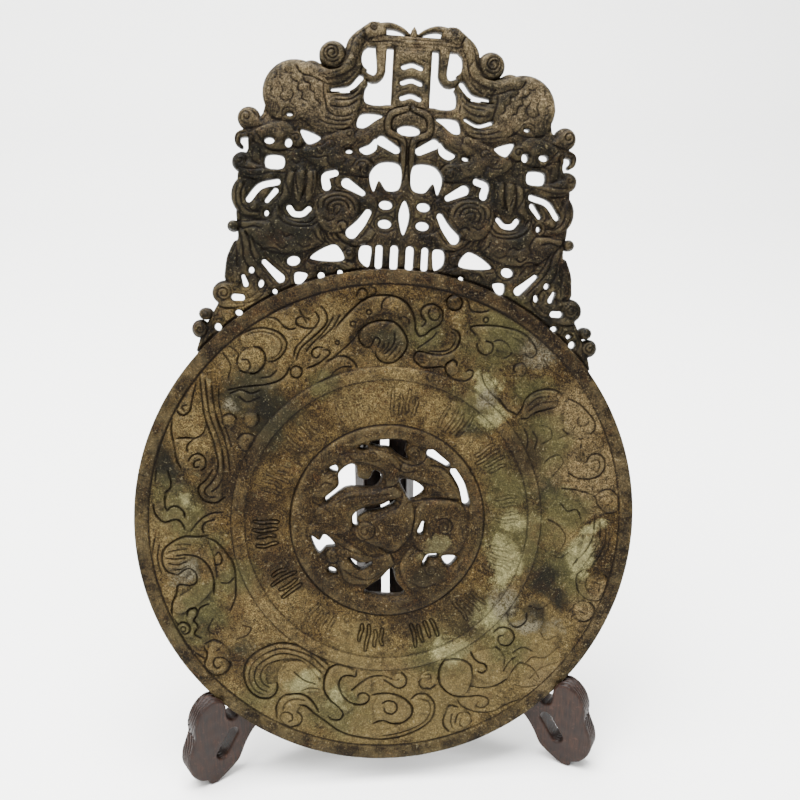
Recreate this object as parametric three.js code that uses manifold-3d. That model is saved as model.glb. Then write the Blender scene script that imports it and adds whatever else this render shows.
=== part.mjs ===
import * as THREE from 'three';
import { mergeVertices } from 'three/addons/utils/BufferGeometryUtils.js';
import Module from 'manifold-3d';

// A pierced jade disc with a tall openwork crest, leaning in a folding wooden stand.
// Millimetres, +Z up, the carved face looks along -Y, +X is to the right.

// The jade disc
const discDiameter = 236;
const discThickness = 8;
const rimBandWidth = 6.2;
const bandOuterRadius = 72.8;
const bandInnerRadius = 67.6;
const centreRingRadius = 45.5;
const fieldDepth = 0.5;
const edgeBevel = 0.6;
const centrePiercingRadius = 38.2;

// The crest on top of it
const crestTopAboveCentre = 226.5;
const crestHalfWidth = 79;
const crestThickness = 7.2;
const crestRelief = 0.9;

// How it stands
const leanAngle = 14;
const turnInStand = 4.2;
const centreHeight = 126.6;

// The folding stand
const boardThickness = 10;
const halfOpening = 29.4;
const postDepth = 22;
const postGap = 3;
const postWidth = 10;
const postHeight = 178;
const footReach = 97.7;
const barTop = 50;
const archHeight = 27;
const footSlotLength = 17;
const footSlotWidth = 5.5;
const knuckleRadius = 4.2;
const knuckleHeight = 8;
const knuckleStart = 20;
const fitGap = 0.3;

const wasm = await Module();
wasm.setup();

const degrees = Math.PI / 180;
const discRadius = discDiameter / 2;
const crestAcross = crestHalfWidth / 79;
const crestUp = crestTopAboveCentre / 226.5;
const carvingScale = discRadius / 118;
const centreScale = centrePiercingRadius / 38.2;

function solidOf(geometry) {
  const bare = geometry.clone();
  bare.deleteAttribute('normal');
  bare.deleteAttribute('uv');
  const merged = mergeVertices(bare, 1e-4);
  const mesh = new wasm.Mesh({
    numProp: 3,
    vertProperties: Float32Array.from(merged.attributes.position.array),
    triVerts: Uint32Array.from(merged.index.array),
  });
  return new wasm.Manifold(mesh);
}

function geometryOf(solid) {
  const mesh = solid.getMesh();
  const geometry = new THREE.BufferGeometry();
  const places = new Float32Array(mesh.numVert * 3);
  for (let i = 0; i < mesh.numVert; i += 1) {
    places[i * 3] = mesh.vertProperties[i * mesh.numProp];
    places[i * 3 + 1] = mesh.vertProperties[i * mesh.numProp + 1];
    places[i * 3 + 2] = mesh.vertProperties[i * mesh.numProp + 2];
  }
  geometry.setAttribute('position', new THREE.BufferAttribute(places, 3));
  geometry.setIndex(Array.from(mesh.triVerts));
  return geometry;
}

// A straight wall raised on a closed outline, from low to high.
function prism(outline, low, high) {
  const ring = outline.map((p) => new THREE.Vector2(p[0], p[1]));
  if (THREE.ShapeUtils.area(ring) < 0) {
    ring.reverse();
  }
  const caps = THREE.ShapeUtils.triangulateShape(ring, []);
  const count = ring.length;
  const places = [];
  for (const p of ring) {
    places.push(p.x, p.y, low);
  }
  for (const p of ring) {
    places.push(p.x, p.y, high);
  }
  const faces = [];
  for (const [a, b, c] of caps) {
    faces.push(a, c, b);
    faces.push(a + count, b + count, c + count);
  }
  for (let i = 0; i < count; i += 1) {
    const j = (i + 1) % count;
    faces.push(i, j, j + count);
    faces.push(i, j + count, i + count);
  }
  const geometry = new THREE.BufferGeometry();
  geometry.setAttribute('position', new THREE.BufferAttribute(new Float32Array(places), 3));
  geometry.setIndex(faces);
  return solidOf(geometry);
}

function curveThrough(points, closed, step) {
  const path = points.map((p) => new THREE.Vector3(p[0], p[1], 0));
  const curve = new THREE.CatmullRomCurve3(path, closed, 'centripetal');
  const count = Math.max(closed ? 7 : 1, Math.round(curve.getLength() / step));
  const run = curve.getSpacedPoints(count);
  if (closed) {
    run.pop();
  }
  return run.map((p) => [p.x, p.y]);
}

// A rounded patch through a few corners.
function patch(points, step = 3) {
  return curveThrough(points, true, step);
}

function oval(x, y, across, up, turn = 0, count = 12) {
  const ring = [];
  for (let i = 0; i < count; i += 1) {
    const angle = (2 * Math.PI * i) / count;
    const a = across * Math.cos(angle);
    const b = up * Math.sin(angle);
    const c = Math.cos(turn * degrees);
    const s = Math.sin(turn * degrees);
    ring.push([x + a * c - b * s, y + a * s + b * c]);
  }
  return ring;
}

// A ribbon along a path with round ends; its half width runs from first to last.
function ribbon(points, first, last = first, step = 4) {
  const run = curveThrough(points, false, step);
  const left = [];
  const right = [];
  const ends = [];
  run.forEach((p, i) => {
    const before = run[Math.max(i - 1, 0)];
    const after = run[Math.min(i + 1, run.length - 1)];
    const length = Math.hypot(after[0] - before[0], after[1] - before[1]);
    const along = [(after[0] - before[0]) / length, (after[1] - before[1]) / length];
    const half = first + ((last - first) * i) / (run.length - 1);
    left.push([p[0] - along[1] * half, p[1] + along[0] * half]);
    right.push([p[0] + along[1] * half, p[1] - along[0] * half]);
    if (i === run.length - 1) {
      ends.push([p[0] + along[0] * half * 0.8, p[1] + along[1] * half * 0.8]);
    }
    if (i === 0) {
      ends.push([p[0] - along[0] * half * 0.8, p[1] - along[1] * half * 0.8]);
    }
  });
  return [ends[0], ...left, ends[1], ...right.reverse()];
}

function mirrored(outline) {
  return outline.map((p) => [-p[0], p[1]]).reverse();
}

function onBothSides(outlines) {
  return outlines.concat(outlines.map(mirrored));
}

function scaled(outline, across, up) {
  return outline.map((p) => [p[0] * across, p[1] * up]);
}

function unionOf(outlines, low, high) {
  return outlines.map((o) => prism(o, low, high)).reduce((a, b) => a.add(b));
}

// The crest, drawn for its right half: the limbs that carry the figures.
const crestSideEdge = [
  [0, 60],
  [80, 60],
  [92, 76],
  [90, 84],
  [83.5, 97],
  [77.5, 110],
  [75, 129],
  [76.3, 139],
  [76.3, 157],
  [72, 168],
  [72.3, 176],
  [66, 184],
  [64, 193],
  [22, 196],
  [20, 191.4],
  [0, 191.4],
];
const crestLimbs = [
  crestSideEdge,
  oval(51.8, 193.8, 14.8, 14.8, 0, 26),
  oval(35.8, 211.4, 6.3, 6.3, 0, 18),
  oval(17.6, 222.3, 5.4, 5.1, 0, 16),
  oval(72, 181.4, 5.2, 5.2, 0, 16),
  oval(74.2, 162, 4.8, 4.6, 0, 14),
  oval(68, 147.6, 10.9, 10.6, 0, 22),
  oval(77.3, 133.3, 2.8, 2.7, 0, 12),
  oval(79.6, 103.1, 6.1, 5.6, 0, 16),
  oval(88.2, 93, 3.3, 2.8, 0, 12),
  oval(90.5, 86, 3.9, 4.2, 0, 14),
  ribbon([[75.2, 125], [76.6, 119], [76.2, 111]], 2.2, 4.4),
  ribbon([[68, 175.6], [73, 175], [76.4, 173.6], [76.6, 170.4], [75, 168.8]], 2.4, 1),
  ribbon([[18, 224.4], [11, 226], [5.5, 224.6], [2.4, 222.6]], 1.9, 0.8),
  ribbon([[20, 222], [25.4, 216.6], [26.6, 208.6], [30, 202.4], [38, 200], [45, 203]], 4, 5.6),
  ribbon([[14.3, 217], [14.3, 204.6], [17, 202.2], [21.6, 204.4], [21.4, 207]], 2.7, 1.3),
  ribbon([[24.5, 200], [22.6, 195], [26, 186]], 4.4, 5),
];
const crestMiddle = [
  [[-8.8, 190], [8.8, 190], [8.8, 217.5], [-8.8, 217.5]],
  [[-21, 216.2], [21, 216.2], [21, 222], [-21, 222]],
  [[-22.6, 186.2], [22.6, 186.2], [22.6, 191.4], [-22.6, 191.4]],
  [[-2.2, 221], [2.2, 221], [1.2, 224.6], [0, 226.5], [-1.2, 224.6]],
];

// What is pierced through it, again for the right half first.
const crestPiercedBoth = [
  patch([[18.3, 216], [22, 214.6], [22.6, 209], [20.4, 206.4], [18.2, 206.8]]),
  ribbon([[10.8, 214.6], [10.8, 195.6]], 1, 1.2, 8),
  patch([[10, 192], [20.4, 192], [19.4, 199.6], [10, 199.8]]),
  ribbon([[23, 202.4], [27.4, 197.8], [35.4, 196.4]], 1.3, 0.7),
  patch([[12, 186.4], [22, 186.4], [23.4, 181], [20.4, 180.6], [15, 184.4]]),
  ribbon([[5.4, 171.8], [12, 175.4]], 1.8, 2.3),
  patch([[14.6, 176.4], [17.4, 173.6], [22, 171], [19, 168.8], [14.4, 171.4]]),
  oval(26.6, 169.6, 1.5, 0.9, -10, 8),
  patch([[3.2, 165], [12.4, 165.4], [16.6, 160], [14.6, 152.6], [12.4, 157.6], [8.6, 153.4], [3.2, 154.4]]),
  ribbon([[32.4, 159.8], [36.6, 158], [36, 153.6]], 1.5, 1.9),
  ribbon([[19.6, 151.6], [27, 155.6]], 1.3, 2.3),
  oval(8.7, 146.8, 3, 2, 0, 12),
  oval(8.7, 138.2, 3, 2, 0, 12),
  ribbon([[16.6, 143], [19.6, 138], [23.6, 133.4]], 1.5, 2.6),
  patch([[26.6, 121.2], [30.8, 127.6], [42, 121]]),
  oval(49.5, 119.2, 2.9, 2.1, -10, 10),
  patch([[43, 113.4], [48.4, 113.8], [48.2, 109.2], [45.6, 109.2]]),
  ribbon([[62.8, 118], [58.6, 114], [55.2, 111]], 1.1, 2),
  oval(28, 115, 1.2, 1.2, 0, 8),
  patch([[56, 165.4], [63.6, 165.4], [63.6, 160.6], [56, 160.6]]),
  ribbon([[58.4, 154.2], [66, 151.8], [70.8, 145.8]], 1.4, 1.4),
  ribbon([[59, 150.2], [62.6, 145.6]], 1.3, 1),
  oval(62.6, 140, 1, 1.3, 0, 8),
  ribbon([[43.6, 143], [46.4, 140.6], [50.4, 140.6], [52.4, 143]], 1.2, 1.3),
  oval(54, 184.2, 1.4, 0.8, 0, 8),
  oval(62.6, 172.2, 2.2, 1.5, 0, 10),
  oval(54, 171.8, 1.6, 2, 0, 10),
  patch([[48.8, 178], [39.6, 174.8], [45, 171.8]]),
  oval(68.4, 114, 1.3, 1.4, 0, 8),
  ribbon([[72, 110.8], [70.8, 107.4]], 0.9, 1.2),
  oval(63.8, 108, 1.2, 1.7, 15, 8),
  ribbon([[72.4, 101.2], [75.6, 101.2]], 1.4, 1.5),
  oval(73.4, 94.2, 1.6, 1.3, 0, 8),
  oval(82.6, 87.2, 1.6, 1.7, 0, 8),
  ribbon([[3.6, 127], [3.6, 119.4]], 1.8, 1.8, 8),
  ribbon([[10.6, 127], [10.6, 119.4]], 1.6, 1.6, 8),
  patch([[14.6, 127.6], [19, 127.4], [19.4, 121.4], [15.4, 118.4], [14.4, 122]]),
];
const crestPiercedMiddle = [
  ribbon([[-3.9, 208.4], [0, 209.6], [3.9, 208.4]], 1.1, 1.1, 3),
  ribbon([[-4, 201.6], [0, 202.8], [4, 201.6]], 1.1, 1.1, 3),
  ribbon([[-3.9, 194.8], [0, 196], [3.9, 194.8]], 1.1, 1.1, 3),
  oval(0, 180.6, 5.2, 2.3, 0, 16),
  patch([[0, 149.4], [2.4, 143], [0, 133.6], [-2.4, 143]]),
];
const crestPiercedRight = [
  ribbon([[25.6, 187], [31.4, 184.6], [37.4, 186.4]], 0.8, 0.8),
  oval(80.6, 91, 1.2, 1, 0, 8),
];
const crestPiercedLeft = [
  oval(-57.4, 104.8, 1.1, 1.1, 0, 8),
  oval(-36.6, 113.2, 1.5, 1.5, 0, 8),
];

// Raised figures on the front of the crest.
const crestRaised = [
  oval(35.8, 211.4, 4.6, 4.6, 0, 12),
  oval(52.6, 194.4, 11.6, 11.2, 0, 16),
  oval(72, 181.4, 3.4, 3.4, 0, 10),
  oval(33.6, 142.6, 8.4, 8.2, 0, 16),
  oval(74.2, 162, 2.8, 2.6, 0, 8),
  oval(79.6, 103.1, 3.8, 3.4, 0, 10),
  ribbon([[21.4, 221.4], [25.2, 214], [27.6, 206.6], [34, 201.8]], 2, 2.6),
  ribbon([[28, 170], [33, 164], [40, 167], [46, 162], [48, 153]], 2.4, 3),
  ribbon([[44, 133.6], [52, 132.2], [62, 134], [70, 131]], 3.4, 1.6),
  ribbon([[66, 126], [67.4, 120]], 3, 2),
];

// Sculpted animal in the pierced centre: the openings left around its limbs.
const centrePierced = [
  patch([[-10, 36.8], [-5, 38.2], [6.8, 38.2], [6.4, 34], [8, 29.6], [3.6, 31.4], [-1, 35], [-6, 35.4]]),
  oval(-13.2, 34.6, 1.6, 1, 10, 8),
  patch([[-28.6, 23.6], [-25.6, 25.2], [-24.6, 22.2]]),
  patch([[-24, 21.4], [-18.8, 26], [-16.4, 25.4], [-15, 20], [-9.6, 19.4], [-7.4, 23.6], [-4, 21.4],
    [-6.6, 16], [-20, 15], [-26.4, 10.4], [-29.4, 8], [-29.6, 9.6], [-23.8, 15.6]]),
  patch([[5.2, 19.6], [11.2, 19.4], [16.6, 15.2], [10.4, 10.4], [8, 13.4]]),
  ribbon([[19, 33], [27, 28]], 2, 1.1),
  ribbon([[30, 25], [34.6, 18], [37, 10.4]], 1.4, 1.7),
  ribbon([[2, 9], [-3, 6.2], [-11.6, 4.2], [-15.4, 1], [-15, -2.4]], 0.9, 1.1),
  ribbon([[17, -0.6], [16, -5]], 0.8, 1.4),
  patch([[-35.4, -9], [-31.6, -11], [-29.6, -8], [-24.2, -13.2], [-28.4, -14.2], [-31.4, -17.2]]),
  oval(-24.8, -25.4, 2, 1.2, -25, 8),
  patch([[-17.2, -18.8], [-12.4, -21], [-6.4, -20.6], [-11.6, -24.4]]),
  patch([[-9, -35], [-1.4, -28.4], [3.4, -23.4], [5.6, -29.6], [10, -35.4], [0, -36.6]]),
  ribbon([[18.6, -20.4], [20.4, -17], [24.2, -16.4]], 0.7, 0.7),
  patch([[27.2, -17], [34, -16.8], [30.4, -21.4]]),
];

// Raised bodies in the outer band of the disc, each a tapering ribbon.
const bandBodies = [
  ribbon([[-22, 82], [-17, 92], [-8, 99], [2, 101], [9, 96], [10, 87]], 3.2, 4.4, 8),
  ribbon([[-9, 92], [-16, 86], [-12, 78], [-4, 79], [-3, 86]], 3, 2, 8),
  ribbon([[14, 104], [18, 96], [24, 90], [24, 82], [12, 79]], 2.4, 3, 7.5),
  ribbon([[24, 74], [34, 72], [42, 84], [52, 88], [62, 84]], 3, 4.6, 7.5),
  ribbon([[40, 88], [44, 80], [52, 76]], 3.4, 2, 7.5),
  ribbon([[54, 66], [62, 58], [70, 64], [80, 66], [92, 56], [94, 46]], 2.6, 4, 7.5),
  ribbon([[90, 34], [100, 34], [98, 26], [86, 24]], 2.4, 2, 8),
  ribbon([[92, 12], [104, 14], [108, 4], [104, -8], [96, -14]], 3, 4.4, 7.5),
  ribbon([[98, -22], [108, -30], [102, -38], [92, -32]], 3.6, 2.6, 7.5),
  ribbon([[86, -4], [78, -10], [84, -22], [78, -34]], 3, 3.4, 8),
  ribbon([[60, -48], [66, -40], [58, -38]], 2.4, 1.6, 8),
  ribbon([[92, -50], [86, -62], [76, -66], [70, -58]], 3.4, 3, 7.5),
  ribbon([[30, -66], [40, -72], [52, -78], [66, -76], [74, -70]], 4.2, 2.2, 7.5),
  ribbon([[34, -88], [42, -86], [52, -90], [60, -84]], 3.6, 2.2, 7.5),
  ribbon([[46, -98], [38, -102], [34, -94], [40, -90]], 2.4, 1.8, 8),
  ribbon([[16, -76], [26, -82], [28, -96], [14, -104], [-2, -105]], 2.4, 3.6, 8),
  ribbon([[2, -88], [8, -92], [4, -98], [-4, -94]], 2.4, 1.6, 8),
  ribbon([[4, -80], [-8, -78], [-20, -76], [-22, -86], [-12, -90]], 3.4, 3, 7.5),
  ribbon([[-26, -76], [-38, -66], [-54, -68], [-58, -80], [-50, -84]], 4.6, 3, 7.5),
  ribbon([[-24, -92], [-36, -90], [-44, -96], [-38, -102], [-32, -98]], 2.8, 1.8, 8),
  ribbon([[-20, -104], [-34, -102], [-48, -98]], 2.4, 1.6, 8),
  ribbon([[-70, -62], [-78, -66], [-78, -76], [-70, -76]], 2.8, 2, 7.5),
  ribbon([[-96, -52], [-90, -46], [-86, -56], [-78, -54]], 2.4, 1.8, 7.5),
  ribbon([[-98, -42], [-88, -34], [-80, -24], [-86, -14], [-98, -16], [-100, -26], [-92, -30]], 4.8, 3, 7.5),
  ribbon([[-74, -30], [-78, -18], [-86, -8], [-80, 2]], 2.2, 3, 8),
  ribbon([[-104, -4], [-96, 4], [-88, 12], [-84, 24]], 3.4, 4, 8),
  ribbon([[-96, 24], [-98, 34], [-90, 38], [-84, 32]], 3, 2.2, 7.5),
  ribbon([[-100, 20], [-100, 44], [-94, 58]], 2, 2.4, 8),
  ribbon([[-74, 20], [-78, 36], [-84, 52], [-86, 64]], 3.4, 2.2, 8),
  ribbon([[-62, 46], [-68, 38], [-74, 44]], 2.6, 2.2, 8),
  ribbon([[-74, 62], [-78, 74], [-68, 82], [-56, 82], [-54, 74], [-62, 70]], 4.6, 3.6, 7.5),
  ribbon([[-44, 66], [-52, 74], [-48, 84], [-40, 94]], 2.2, 2.6, 8),
  ribbon([[-30, 72], [-36, 82], [-30, 92], [-24, 100]], 2.4, 2, 7),
];

// Rows of short shallow strokes in the ring between the band and the centre.
const strokeClusters = 14;
const strokeRadius = 57;
const strokeLength = 11;
const strokeHalfWidth = 0.9;

function strokeRows() {
  const cuts = [];
  for (let i = 0; i < strokeClusters; i += 1) {
    const angle = 8 + (360 / strokeClusters) * i;
    for (let row = -1; row <= 1; row += 2) {
      const turn = (angle + row * 2.6) * degrees;
      const reach = strokeLength / 2 - row * 0.8;
      const inner = strokeRadius - reach;
      const outer = strokeRadius + reach;
      cuts.push(ribbon([
        [inner * Math.cos(turn), inner * Math.sin(turn)],
        [outer * Math.cos(turn), outer * Math.sin(turn)],
      ], strokeHalfWidth, strokeHalfWidth, 30));
    }
  }
  return cuts;
}

function discSolid() {
  const front = 0;
  const field = -fieldDepth;
  const back = -discThickness;
  const slope = fieldDepth;
  const rimInner = discRadius - rimBandWidth;
  const profile = [
    [0, back],
    [discRadius - edgeBevel, back],
    [discRadius, back + edgeBevel],
    [discRadius, front - edgeBevel],
    [discRadius - edgeBevel, front],
    [rimInner, front],
    [rimInner - slope, field],
    [bandOuterRadius * carvingScale + slope, field],
    [bandOuterRadius * carvingScale, front],
    [bandInnerRadius * carvingScale, front],
    [bandInnerRadius * carvingScale - slope, field],
    [centreRingRadius * carvingScale + slope, field],
    [centreRingRadius * carvingScale, front],
    [0, front],
  ];
  const ring = profile.map((p) => new THREE.Vector2(p[0], p[1]));
  const lathe = new THREE.LatheGeometry(ring, 72);
  lathe.rotateX(Math.PI / 2);
  return solidOf(lathe);
}

function jadeGeometry() {
  let crest = unionOf(onBothSides(crestLimbs).concat(crestMiddle), -crestThickness - 0.4, -0.4);
  const raised = unionOf(onBothSides(crestRaised), -crestThickness, crestRelief - 0.4);
  crest = crest.add(raised);
  const pierced = onBothSides(crestPiercedBoth)
    .concat(crestPiercedMiddle, crestPiercedRight, crestPiercedLeft);
  crest = crest.subtract(unionOf(pierced, -discThickness * 3, discThickness * 2));
  const stretch = new THREE.Matrix4().makeScale(crestAcross, crestUp, 1);
  const crestShape = geometryOf(crest);
  crestShape.applyMatrix4(stretch);
  crest = solidOf(crestShape);

  let disc = discSolid();
  const bodies = bandBodies.map((o) => scaled(o, carvingScale, carvingScale));
  disc = disc.add(unionOf(bodies, -discThickness / 2, 0));
  const strokes = strokeRows().map((o) => scaled(o, carvingScale, carvingScale));
  disc = disc.subtract(unionOf(strokes, -fieldDepth - 0.5, discThickness));
  const centre = centrePierced.map((o) => scaled(o, centreScale, centreScale));
  disc = disc.subtract(unionOf(centre, -discThickness * 3, discThickness * 2));
  return geometryOf(disc.add(crest).simplify(0.08));
}

// Where the disc sits in the stand: its front face through the centre height.
function discPlacement() {
  const lean = leanAngle * degrees;
  const turn = turnInStand * degrees;
  const outward = new THREE.Vector3(0, -Math.cos(lean), Math.sin(lean));
  const upward = new THREE.Vector3(0, Math.sin(lean), Math.cos(lean));
  const across = new THREE.Vector3(1, 0, 0);
  const right = across.clone().multiplyScalar(Math.cos(turn)).addScaledVector(upward, -Math.sin(turn));
  const up = upward.clone().multiplyScalar(Math.cos(turn)).addScaledVector(across, Math.sin(turn));
  const place = new THREE.Matrix4().makeBasis(right, up, outward);
  place.setPosition(0, 0, centreHeight);
  return place;
}

// One side board of the stand, drawn flat: distance from the fold, then height.
function boardOutline() {
  const tip = footReach;
  const front = [
    [-2.5, 0],
    [1.5, 0],
    [2.6, 2.6],
    [6.5, 4.4],
    [10, 8.5],
    [11.8, 14],
    [11.2, 20],
    [9, 25.5],
    [7.6, 29.5],
    [7.6, 34],
    [6, 39.5],
    [2.5, 44.3],
    [-2.5, 46.8],
    [-6.8, 45.6],
    [-8.9, 42],
    [-9.2, 37.5],
    [-10, 34.2],
    [-12, 33],
    [-14.2, 34],
    [-16, 38],
    [-19, 46],
    [-25, 50],
  ].map((p) => [tip + p[0], p[0] === -25 ? barTop : p[1]]);
  const postSide = [
    [45, barTop],
    [28, barTop + 3],
    [18, barTop + 12],
    [postWidth + 2, barTop + 22],
    [postWidth, barTop + 34],
    [postWidth, postHeight - 5],
    [postWidth - 2, postHeight - 1.2],
    [postWidth / 2, postHeight],
    [2, postHeight - 1.2],
    [0, postHeight - 5],
    [0, 0],
    [13, 0],
  ];
  const under = [
    [15, 5],
    [21.5, archHeight * 0.44],
    [31.5, archHeight * 0.78],
    [47.5, archHeight],
    [63.5, archHeight],
    [tip - 24, 24],
    [tip - 18.5, 17],
    [tip - 15.8, 11.5],
    [tip - 14.2, 8.6],
    [tip - 12, 6.6],
    [tip - 8, 3.6],
  ];
  return front.concat(postSide, under);
}

function knuckle(index, grow) {
  const low = knuckleStart + index * (knuckleHeight + fitGap);
  const ring = oval(0, postDepth + 3.5, knuckleRadius + grow, knuckleRadius + grow, 0, 16);
  return prism(ring, low - grow, low + knuckleHeight + grow);
}

function boardGeometry(side) {
  const open = halfOpening * degrees;
  const flat = prism(boardOutline(), 0, boardThickness);
  const slotAngle = -57 * degrees;
  const slotHalf = footSlotLength / 2 - footSlotWidth / 2;
  const slotMiddle = [footReach - 8.6, 20.4];
  const slotReach = [slotHalf * Math.cos(slotAngle), slotHalf * Math.sin(slotAngle)];
  const slot = ribbon([
    [slotMiddle[0] - slotReach[0], slotMiddle[1] - slotReach[1]],
    [slotMiddle[0] + slotReach[0], slotMiddle[1] + slotReach[1]],
  ], footSlotWidth / 2, footSlotWidth / 2, 20);
  const pierced = flat.subtract(prism(slot, -5, boardThickness + 5));
  const along = new THREE.Vector3(Math.cos(open), -Math.sin(open), 0);
  const rise = new THREE.Vector3(0, 0, 1);
  const outward = new THREE.Vector3(Math.sin(open), Math.cos(open), 0);
  const stand = new THREE.Matrix4().makeBasis(along, rise, outward.clone().negate());
  const geometry = geometryOf(pierced);
  geometry.translate(0, 0, -boardThickness);
  geometry.applyMatrix4(stand);
  geometry.translate(postGap / 2, postDepth, 0);
  let board = solidOf(geometry);
  const own = side > 0 ? [0, 2] : [1, 3];
  const other = side > 0 ? [1, 3] : [0, 2];
  for (const index of own) {
    board = board.add(knuckle(index, 0));
  }
  for (const index of other) {
    board = board.subtract(knuckle(index, fitGap));
  }
  const seat = new THREE.CylinderGeometry(discRadius + fitGap, discRadius + fitGap, discThickness + 2 * fitGap, 120);
  seat.rotateX(Math.PI / 2);
  seat.translate(0, 0, -discThickness / 2);
  seat.applyMatrix4(discPlacement());
  board = board.subtract(solidOf(seat));
  const shape = geometryOf(board);
  if (side < 0) {
    const order = shape.index.array;
    shape.applyMatrix4(new THREE.Matrix4().makeScale(-1, 1, 1));
    for (let i = 0; i < order.length; i += 3) {
      const swap = order[i];
      order[i] = order[i + 1];
      order[i + 1] = swap;
    }
  }
  return shape;
}

const jadeColour = new THREE.MeshStandardMaterial({ color: 0x5d5136, roughness: 0.5, metalness: 0 });
const woodColour = new THREE.MeshStandardMaterial({ color: 0x2c1a17, roughness: 0.45, metalness: 0 });

function named(name, geometry, material) {
  const mesh = new THREE.Mesh(geometry, material);
  mesh.name = name;
  mesh.geometry.computeVertexNormals();
  return mesh;
}

const jade = jadeGeometry();
jade.applyMatrix4(discPlacement());

const group = new THREE.Group();
group.name = 'jade_bi_disc';
group.add(named('jade_disc', jade, jadeColour));
group.add(named('stand_frame_right', boardGeometry(1), woodColour));
group.add(named('stand_frame_left', boardGeometry(-1), woodColour));

// The middle of the whole thing's footprint stands over the origin.
const box = new THREE.Box3().setFromObject(group);
const shift = new THREE.Vector3(-(box.min.x + box.max.x) / 2, -(box.min.y + box.max.y) / 2, -box.min.z);
for (const mesh of group.children) {
  mesh.geometry.translate(shift.x, shift.y, shift.z);
}

export default group;
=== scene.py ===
import math

import bpy
import numpy as np
from mathutils import Matrix, Vector


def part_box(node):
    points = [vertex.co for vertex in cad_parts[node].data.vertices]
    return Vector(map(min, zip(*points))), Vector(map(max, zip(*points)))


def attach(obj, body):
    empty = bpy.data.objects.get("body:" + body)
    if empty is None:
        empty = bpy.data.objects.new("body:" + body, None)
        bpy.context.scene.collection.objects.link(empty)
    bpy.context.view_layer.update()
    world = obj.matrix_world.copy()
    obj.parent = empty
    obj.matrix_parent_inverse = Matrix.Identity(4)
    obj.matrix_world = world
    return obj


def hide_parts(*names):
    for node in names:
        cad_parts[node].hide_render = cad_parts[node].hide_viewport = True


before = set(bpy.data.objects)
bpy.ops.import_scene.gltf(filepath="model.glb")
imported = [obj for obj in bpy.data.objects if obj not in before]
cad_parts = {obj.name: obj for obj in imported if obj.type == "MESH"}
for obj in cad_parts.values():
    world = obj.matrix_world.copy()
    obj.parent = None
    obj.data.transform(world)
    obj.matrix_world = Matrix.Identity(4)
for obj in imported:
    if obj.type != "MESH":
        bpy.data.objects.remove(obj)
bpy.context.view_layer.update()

pose = {
    "leanDegrees": 14.0,
    "turnDegrees": 4.2,
    "centreHeightMm": 126.6,
    "openDegrees": 29.4,
    "postDepthMm": 22.0,
    "postGapMm": 3.0,
    "boardThicknessMm": 10.0,
}

lean = math.radians(pose["leanDegrees"])
turn = math.radians(pose["turnDegrees"])
opening = math.radians(pose["openDegrees"])

# The stand's rearmost corner in the frame tells how far the whole thing is shifted along Y.
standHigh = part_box("stand_frame_right")[1]
shiftY = standHigh.y * 1000 - (pose["postDepthMm"] + pose["boardThicknessMm"] * math.cos(opening))

outward = np.array([0, -math.cos(lean), math.sin(lean)])
leaningUp = np.array([0, math.sin(lean), math.cos(lean)])
across = np.array([1.0, 0, 0])
jadeRight = across * math.cos(turn) - leaningUp * math.sin(turn)
jadeUp = leaningUp * math.cos(turn) + across * math.sin(turn)
jadeCentre = np.array([0, shiftY, pose["centreHeightMm"]])


def inStand(local):
    return jadeCentre + local[:, :1] * jadeRight + local[:, 1:2] * jadeUp + local[:, 2:] * outward


# Camera

cameraValues = {
    "fromDiscMm": (-25.0, -419.5, 222.1),
    "azimuth": -4.2,
    "downward": 20.94,
    "lens": 45.0,
}

cameraData = bpy.data.cameras.new("photoCamera")
cameraData.lens = cameraValues["lens"]
cameraData.sensor_width = 36
cameraData.clip_start = 0.02
cameraData.clip_end = 20
camera = bpy.data.objects.new("photoCamera", cameraData)
bpy.context.scene.collection.objects.link(camera)
camera.location = Vector((jadeCentre + np.array(cameraValues["fromDiscMm"])) / 1000)
side = math.radians(cameraValues["azimuth"])
down = math.radians(cameraValues["downward"])
look = Vector((-math.sin(side) * math.cos(down), math.cos(side) * math.cos(down), -math.sin(down)))
camera.rotation_mode = "QUATERNION"
camera.rotation_quaternion = look.to_track_quat("-Z", "Y")
bpy.context.scene.camera = camera
print("camera ready")

# Curves and distances on a flat grid, in millimetres


def smoothPath(points, closed=False, perSpan=7):
    knots = [np.array(p, float) for p in points]
    count = len(knots)
    if count == 2 and not closed:
        return np.array(knots)
    run = []
    spans = count if closed else count - 1
    for k in range(spans):
        p1 = knots[k]
        p2 = knots[(k + 1) % count]
        if closed:
            p0 = knots[(k - 1) % count]
            p3 = knots[(k + 2) % count]
        else:
            p0 = knots[k - 1] if k > 0 else 2 * p1 - p2
            p3 = knots[k + 2] if k + 2 < count else 2 * p2 - p1
        t1 = max(np.linalg.norm(p1 - p0), 1e-6) ** 0.5
        t2 = t1 + max(np.linalg.norm(p2 - p1), 1e-6) ** 0.5
        t3 = t2 + max(np.linalg.norm(p3 - p2), 1e-6) ** 0.5
        for t in np.linspace(t1, t2, perSpan, endpoint=False):
            a1 = (t1 - t) / t1 * p0 + t / t1 * p1
            a2 = (t2 - t) / (t2 - t1) * p1 + (t - t1) / (t2 - t1) * p2
            a3 = (t3 - t) / (t3 - t2) * p2 + (t - t2) / (t3 - t2) * p3
            b1 = (t2 - t) / t2 * a1 + t / t2 * a2
            b2 = (t3 - t) / (t3 - t1) * a2 + (t - t1) / (t3 - t1) * a3
            run.append((t2 - t) / (t2 - t1) * b1 + (t - t1) / (t2 - t1) * b2)
    if not closed:
        run.append(knots[-1])
    return np.array(run)


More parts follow.
